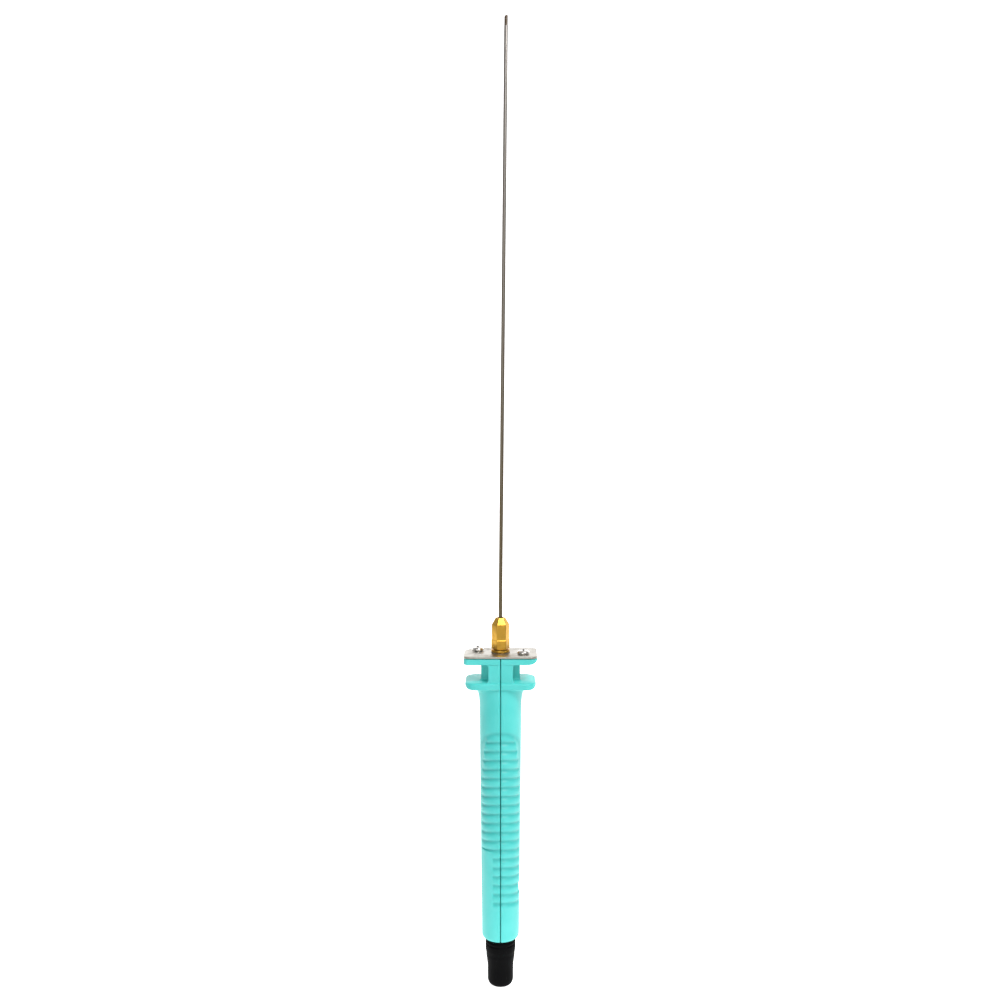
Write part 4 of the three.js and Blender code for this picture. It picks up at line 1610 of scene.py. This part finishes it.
# ------------------------------------------------------------------ collet and needle
@dataclass
class Collet:
    """The brass collet: its body with base ring and threaded stem, and the hexagonal nut."""

    stem_radius: float = 2.6
    stem_bore: float = 2.0
    needle_hole: float = 1.2
    ring_radius: float = 3.95
    ring_height: float = 1.1
    pitch: float = 0.75
    nut_corner: float = 3.95
    nut_upper_corner: float = 3.8
    nut_step: float = 3.8
    cone_height: float = 2.9
    nose_corner: float = 2.1
    nose_bore: float = 1.3
    nut_bore: float = 2.9
    throat_depth: float = 5.0
    turn: float = 5.9
    thread_depth: float = 0.26
    chamfer: float = 0.22

    def body(self) -> bpy.types.Object:
        """The stem and its base ring, with the thread that the nut runs on."""
        span = Span.of("collet_body")
        ring_foot = Span.of("face_plate").high.z + GAP
        ring_top = ring_foot + self.ring_height
        seat = Span.of("collet_jaws").low.z - GAP
        rim = rounded([
            (self.needle_hole, span.low.z), (self.stem_radius, span.low.z), (self.stem_radius, ring_foot),
            (self.ring_radius, ring_foot), (self.ring_radius, ring_top), (self.stem_radius, ring_top),
            (self.stem_radius, span.high.z), (self.stem_bore, span.high.z), (self.stem_bore, seat),
            (self.needle_hole, seat)], 0.14, closed=True)
        profile = refined(rim, ring_top, span.high.z, self.pitch / 8)
        blank = Turned("stem", profile, True, 56).build()
        values: dict[str, object] = {
            "Centre Side": 0.0,
            "Centre Up": 0.0,
            "Pitch": self.pitch * MM,
            "Fade": 0.5 * MM,
            "From": (ring_top + 0.2) * MM,
            "To": (span.high.z - 0.2) * MM,
            "Shank Radius": self.stem_radius * MM,
            "Depth": self.thread_depth * MM,
            "Material": BRASS.material(),
        }
        made = Thread(Axis.UP).apply(blank, values)
        made.name = "collet_body"
        return finished(made, Body.HANDLE, BRASS, "collet_body")

    def nut(self) -> bpy.types.Object:
        """The nut: a wide foot, an upper hexagon and a six-sided cone."""
        span = Span.of("collet_nut")
        foot, top = span.low.z, span.high.z
        wide = Hexagon(self.nut_corner, self.turn)
        upper = Hexagon(self.nut_upper_corner, self.turn)
        cone_foot = top - self.cone_height
        stations = [
            Station(foot + rise, wide.grown(-edge_inset(rise, self.chamfer)))
            for rise in steps(0, self.chamfer, 3)]
        step_z = foot + self.nut_step
        stations += [Station(step_z - 0.06, wide), Station(step_z, wide.grown(-0.05))]
        stations += [Station(step_z + 0.14, upper), Station(cone_foot - 0.10, upper)]
        stations.append(Station(cone_foot + 0.01, upper.grown(-0.04)))
        for share in steps(0.06, 1.0, 8):
            corner = self.nut_upper_corner + (self.nose_corner - self.nut_upper_corner) * share
            stations.append(Station(cone_foot + self.cone_height * share, Hexagon(corner, self.turn)))
        stations += [
            Station(top, Disc(self.nose_bore + 0.12)), Station(top - 0.1, Disc(self.nose_bore)),
            Station(top - self.throat_depth, Disc(self.nut_bore)), Station(foot + 0.2, Disc(self.nut_bore)),
            Station(foot, Disc(self.nut_bore + 0.2))]
        made = Lofted("collet_nut", stations).build()
        return finished(made, Body.NUT, BRASS, "collet_nut", crease=24.0)

    def build(self) -> None:
        """Builds the body and the nut."""
        self.body()
        self.nut()


@dataclass
class Needle:
    """The long steel needle with its browned tip, and the contact end inside the handle."""

    radius: float = 0.8
    bore: float = 0.55
    tip_radius: float = 0.72
    bend_start: float = 3.0
    bend_length: float = 14.0
    slope: float = 0.0096
    notch_degrees: float = 38.0
    notch_depth: float = 0.5
    notch_reach: float = 3.0
    notch_height: float = 2.0
    pin_nose: Point = (0.5, 0.8)

    def lean(self, z: float) -> float:
        """Offset of the centre line towards +X at a height."""
        above = max(0.0, z - Span.of("collet_nut").high.z - self.bend_start)
        inside = min(above, self.bend_length)
        return self.slope * inside * inside / (2 * self.bend_length) + self.slope * (above - inside)

    def line(self, low: float, high: float, count: int) -> list[Triple]:
        """Points of the centre line between two heights."""
        return [(self.lean(z), 0.0, z) for z in steps(low, high, count)]

    def tip(self, sweep: Sweep, foot: float) -> bpy.types.Object:
        """The browned tip, notched obliquely at its end."""
        top = Span.of("needle_tip").high.z
        rod = sweep.along("tip_rod", self.line(foot, top, 6), self.tip_radius, BROWNED)
        turn = Matrix.Rotation(math.radians(-self.notch_degrees), 3, "Y")
        at = (self.lean(top) - self.tip_radius, 0.0, top - self.notch_depth)
        reach = self.notch_reach
        notch = block("notch", (-reach, -reach, 0.0), (reach, reach, self.notch_height), turn, at)
        made = cut(rod, [notch])
        made.name = "needle_tip"
        return finished(made, Body.NEEDLE, BROWNED, "needle_tip")

    def contact_end(self) -> None:
        """The insulator and the pin that plugs into the contact socket."""
        span = Span.of("needle_insulator")
        outline = [(self.radius, span.low.z), (self.radius, span.high.z), (self.bore, span.high.z),
                   (self.bore, span.low.z)]
        insulator = Turned("needle_insulator", rounded(outline, 0.1, closed=True), True, 32).build()
        finished(insulator, Body.NEEDLE, CREAM, "needle_insulator")
        span = Span.of("needle_contact_pin")
        nose_share, nose_length = self.pin_nose
        outline = [(0, span.low.z), (self.radius * nose_share, span.low.z),
                   (self.radius, span.low.z + nose_length), (self.radius, span.high.z), (0, span.high.z)]
        pin = Turned("needle_contact_pin", rounded(outline, 0.2), False, 32).build()
        finished(pin, Body.NEEDLE, BRASS, "needle_contact_pin")

    def build(self, sweep: Sweep) -> None:
        """Builds the needle's pieces.

        Args:
            sweep: The tree that makes rods along curves.
        """
        span = Span.of("needle_tube")
        tube = sweep.along("needle_tube", self.line(span.low.z, span.high.z, 90), self.radius, NEEDLE)
        finished(tube, Body.NEEDLE, NEEDLE, "needle_tube")
        self.tip(sweep, span.high.z)
        self.contact_end()


# ------------------------------------------------------------------ the inlet and the leads
@dataclass
class Inlet:
    """The rubber boot, and the power jack inside it."""

    waist: float = 5.55
    full: float = 6.55
    neck: float = 5.4
    flange: float = 6.1
    inner: float = 4.5
    mouth: float = 3.2
    mouth_depth: float = 7.5
    end_height: float = 2.6
    waist_top: float = 7.0
    full_from: float = 17.2
    low_notch: float = 14.2
    shoulder: float = 20.7
    neck_top: float = 23.1
    notch_heights: tuple[float, float] = (18.4, 20.0)
    notch: float = 0.42
    end_round: float = 1.7
    mouth_edge: float = 0.35
    jack_inner: float = 3.4
    jack_outer: float = 4.2
    jack_flange: float = 2.0
    jack_floor: float = 9.7
    pin_hole: float = 1.1
    sleeve_inner: float = 2.8
    sleeve_outer: float = 3.1
    sleeve_top: float = 9.4
    tab_half_width: float = 0.7
    pin_radius: float = 1.05
    pin_tail_radius: float = 0.8
    pin_nose: Point = (0.63, 0.6)

    def boot_profile(self) -> list[Point]:
        """The boot's outline, up the outside and down the inside."""
        top = Span.of("inlet_boot").high.z
        end = self.waist - self.end_round
        profile = [
            (end + self.end_round * math.sin(a), self.end_height * (1.0 - math.cos(a)))
            for a in steps(0.0, math.pi / 2, 8)]
        for share in steps(0.0, 1.0, 12):
            eased = share * share * (3.0 - 2.0 * share)
            height = self.waist_top + (self.full_from - self.waist_top) * share
            notch = max(0.0, 1.0 - abs(height - self.low_notch) / 0.8) * self.notch * 0.6
            profile.append((self.waist + (self.full - self.waist) * eased - notch, height))
        for height in self.notch_heights:
            profile += [(self.full, height - self.notch), (self.full - self.notch, height),
                        (self.full, height + self.notch)]
        inside = [
            (self.full, self.shoulder), (self.neck, self.shoulder), (self.neck, self.neck_top),
            (self.flange, self.neck_top), (self.flange, top), (self.inner, top),
            (self.inner, self.mouth_depth), (self.mouth, self.mouth_depth),
            (self.mouth, self.mouth_edge), (self.mouth + GAP, 0.0)]
        return rounded(profile + inside, 0.16, 2, closed=True)

    def jack_body(self) -> bpy.types.Object:
        """The jack's moulded body, slotted for the sleeve's tab."""
        span = Span.of("power_jack_body")
        inner, outer = self.jack_inner, self.jack_outer
        floor = span.low.z + self.jack_floor
        flange_foot = Span.of("inlet_boot").high.z + GAP
        flange_top = flange_foot + self.jack_flange
        profile = rounded([
            (inner, span.low.z), (outer, span.low.z), (outer, flange_foot), (self.flange, flange_foot),
            (self.flange, flange_top), (outer, flange_top), (outer, span.high.z),
            (self.pin_hole, span.high.z), (self.pin_hole, floor), (inner, floor)], 0.12, closed=True)
        body = Turned("moulded_jack", profile, True, 56).build()
        half = self.tab_half_width + GAP
        slot = block(
            "slot", (self.sleeve_inner - GAP, -half, floor - 0.1), (inner, half, span.high.z + 1.0))
        made = cut(body, [slot])
        made.name = "power_jack_body"
        return finished(made, Body.HANDLE, JACK, "power_jack_body")

    def contacts(self) -> None:
        """The sleeve contact with its tab, and the centre pin."""
        span = Span.of("jack_sleeve_contact")
        sleeve_top = Span.of("power_jack_body").low.z + self.sleeve_top
        inner, outer = self.sleeve_inner, self.sleeve_outer
        ring = rounded(
            [(inner, span.low.z), (outer, span.low.z), (outer, sleeve_top), (inner, sleeve_top)],
            0.1, closed=True)
        sleeve = Turned("sleeve", ring, True, 48).build()
        half = self.tab_half_width
        tab = block("tab", (inner + 0.05, -half, sleeve_top - 2.0), (outer - 0.02, half, span.high.z))
        joined = joined_meshes("jack_sleeve_contact", [sleeve, tab])
        finished(joined, Body.HANDLE, CONTACT, "jack_sleeve_contact")
        span = Span.of("jack_centre_pin")
        nose_radius, nose_length = self.pin_nose
        profile = rounded([
            (0, span.low.z), (nose_radius, span.low.z), (self.pin_radius, span.low.z + nose_length),
            (self.pin_radius, sleeve_top), (self.pin_tail_radius, sleeve_top),
            (self.pin_tail_radius, span.high.z), (0, span.high.z)], 0.2)
        pin = Turned("jack_centre_pin", profile, False, 40).build()
        finished(pin, Body.HANDLE, BRASS, "jack_centre_pin")

    def build(self) -> None:
        """Builds the boot and the jack."""
        boot = Turned("inlet_boot", self.boot_profile(), True, 96).build()
        finished(boot, Body.HANDLE, RUBBER, "inlet_boot")
        self.jack_body()
        self.contacts()


@dataclass
class Leads:
    """The two insulated leads inside the handle."""

    radius: float = 0.7
    offset: float = 4.2
    stub: float = 1.2
    screw_z: float = 43.2
    return_top: float = 5.42
    tab_x: float = 2.95
    below_boss: float = 4.0
    above_boss: float = 5.0
    live_bend: float = 14.0
    below_holder: float = 3.0
    above_holder: float = 2.0
    below_locknut: float = 1.0

    def lead(self, node: str, points: Sequence[Triple], finish: Finish, sweep: Sweep) -> bpy.types.Object:
        """One lead by way of some points, leaving both ends upright."""
        first, last = points[0], points[-1]
        route = [
            first, (first[0], first[1], first[2] + self.stub), *points[1:-1],
            (last[0], last[1], last[2] - self.stub), last]
        made = sweep.along(node, smooth_route(route), self.radius, finish, 16)
        return finished(made, Body.HANDLE, finish, node)

    def build(self, sweep: Sweep) -> None:
        """Builds both leads."""
        live = Span.of("live_lead")
        holder = Span.of("contact_holder")
        boss_foot, boss_top = self.screw_z - self.below_boss, self.screw_z + self.above_boss
        self.lead("live_lead", [
            (0.0, 0.0, live.low.z), (0.0, -self.offset, boss_foot), (0.0, -self.offset, boss_top),
            (0.0, -self.offset, live.high.z - self.live_bend), (0.0, 0.0, live.high.z)], RED_WIRE, sweep)
        back = Span.of("return_lead")
        locknut = Span.of("collet_locknut")
        self.lead("return_lead", [
            (self.tab_x, 0.0, back.low.z), (0.0, self.offset, boss_foot), (0.0, self.offset, boss_top),
            (0.0, self.offset, holder.low.z - self.below_holder),
            (0.0, self.offset, holder.high.z + self.above_holder),
            (0.0, self.return_top, locknut.low.z - self.below_locknut),
            (0.0, self.return_top, back.high.z)], BLACK_WIRE, sweep)


def dress_inner_pieces() -> None:
    """Gives each inner piece that stays as it is the finish of its slot."""
    finishes = {
        BRASS: ("collet_jaws", "collet_locknut", "contact_socket"),
        CREAM: ("insulating_bush", "contact_holder"),
        COPPER: ("solder_tag", "needle_core"),
    }
    for finish, nodes in finishes.items():
        for node in nodes:
            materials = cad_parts[node].data.materials
            materials.clear()
            materials.append(finish.material())


# ------------------------------------------------------------------ the studio
@dataclass
class Studio:
    """A pale floor, soft lights and the camera."""

    lens: float = 39.56
    eye: Triple = (0.0, -0.465, 0.2436)
    tilt: float = 86.0
    world: float = 0.36
    floor_half: float = 4000.0
    floor_drop: float = 0.6
    sheet_half: float = 3500.0
    sheet_drop: float = 0.3

    def floor(self) -> None:
        """A plain pale floor."""
        half = self.floor_half
        z = -self.floor_drop
        corners = [(-half, -half, z), (half, -half, z), (half, half, z), (-half, half, z)]
        made = new_object("floor", corners, [(0, 1, 2, 3)])
        pale = {"Base Color": (0.8, 0.8, 0.8, 1), "Roughness": 0.9}
        made.data.materials.append(Shader("floor_finish").surface(pale))

    def sweep(self) -> None:
        """A glowing white sheet that lies behind the pen's foot and curves up at the back."""
        front, back, bend, tall = -70.0, 2200.0, 700.0, 3200.0
        foot = -self.sheet_drop
        outline = [(front, foot), (back - bend, foot)]
        for angle in steps(-math.pi / 2, 0.0, 12)[1:]:
            outline.append((back - bend + bend * math.cos(angle), bend + bend * math.sin(angle) + foot))
        outline.append((back, tall))
        points = [(side * self.sheet_half, y, z) for y, z in outline for side in (-1, 1)]
        faces = [(2 * i, 2 * i + 1, 2 * i + 3, 2 * i + 2) for i in range(len(outline) - 1)]
        made = new_object("white_sheet", points, faces)
        glow = {"Base Color": (0.9, 0.9, 0.9, 1), "Roughness": 0.9, "Emission Color": (1, 1, 1, 1),
                "Emission Strength": 1.0}
        made.data.materials.append(Shader("sheet_finish").surface(glow))

    def panel(self, name: str, at: Triple, size: Point, watts: float) -> None:
        """A soft light that faces the handle."""
        light = bpy.data.lights.new(name, "AREA")
        light.shape = "RECTANGLE"
        light.size, light.size_y = size
        light.energy = watts
        made = bpy.data.objects.new(name, light)
        made.location = at
        aim = Vector((0.0, 0.0, 0.16)) - Vector(at)
        made.rotation_euler = aim.to_track_quat("-Z", "Y").to_euler()
        bpy.context.scene.collection.objects.link(made)

    def card(self, name: str, at: Triple, size: Point, turn: float) -> None:
        """An upright dark card beside the pen, for dark reflections and a shaded side."""
        across, tall = size
        low, high = (-across / 2, -tall / 2), (across / 2, tall / 2)
        corners = [low, (high[0], low[1]), high, (low[0], high[1])]
        spin = Matrix.Rotation(math.radians(turn), 3, "Z")
        placed = [(spin @ Vector((x, 0.0, z)) + Vector(at)) / MM for x, z in corners]
        made = new_object(name, [tuple(point) for point in placed], [(0, 1, 2, 3)])
        dark = {"Base Color": (0.02, 0.02, 0.02, 1), "Roughness": 0.9}
        made.data.materials.append(Shader("card_finish").surface(dark))

    def camera(self) -> None:
        """The camera in front of the pen."""
        data = bpy.data.cameras.new("camera")
        data.lens = self.lens
        made = bpy.data.objects.new("camera", data)
        made.location = self.eye
        made.rotation_euler = (math.radians(self.tilt), 0.0, 0.0)
        bpy.context.scene.collection.objects.link(made)
        bpy.context.scene.camera = made

    def build(self) -> None:
        """Sets the stage."""
        scene = bpy.context.scene
        world = bpy.data.worlds.new("studio")
        world.use_nodes = True
        background = world.node_tree.nodes["Background"]
        background.inputs["Color"].default_value = (1.0, 1.0, 1.0, 1.0)
        background.inputs["Strength"].default_value = self.world
        scene.world = world
        scene.view_settings.view_transform = "Standard"
        self.floor()
        self.sweep()
        self.card("left_card", (-0.34, -0.36, 0.21), (0.3, 0.5), 60.0)
        self.card("right_card", (0.42, -0.10, 0.21), (0.12, 0.5), -80.0)
        self.panel("key", (0.30, -0.50, 0.80), (0.25, 0.30), 6.0)
        self.panel("fill", (-0.15, -0.75, 0.30), (0.5, 0.5), 1.0)
        self.camera()


def main() -> None:
    """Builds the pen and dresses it."""
    logging.basicConfig(level=logging.INFO, format="%(name)s: %(message)s")
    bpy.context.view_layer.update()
    Studio().build()
    handle = Handle()
    handle.build()
    Head(handle).build()
    HandleScrew(handle).build()
    Collet().build()
    sweep = Sweep()
    Needle().build(sweep)
    Inlet().build()
    Leads().build(sweep)
    dress_inner_pieces()


if __name__ == "__main__":
    main()
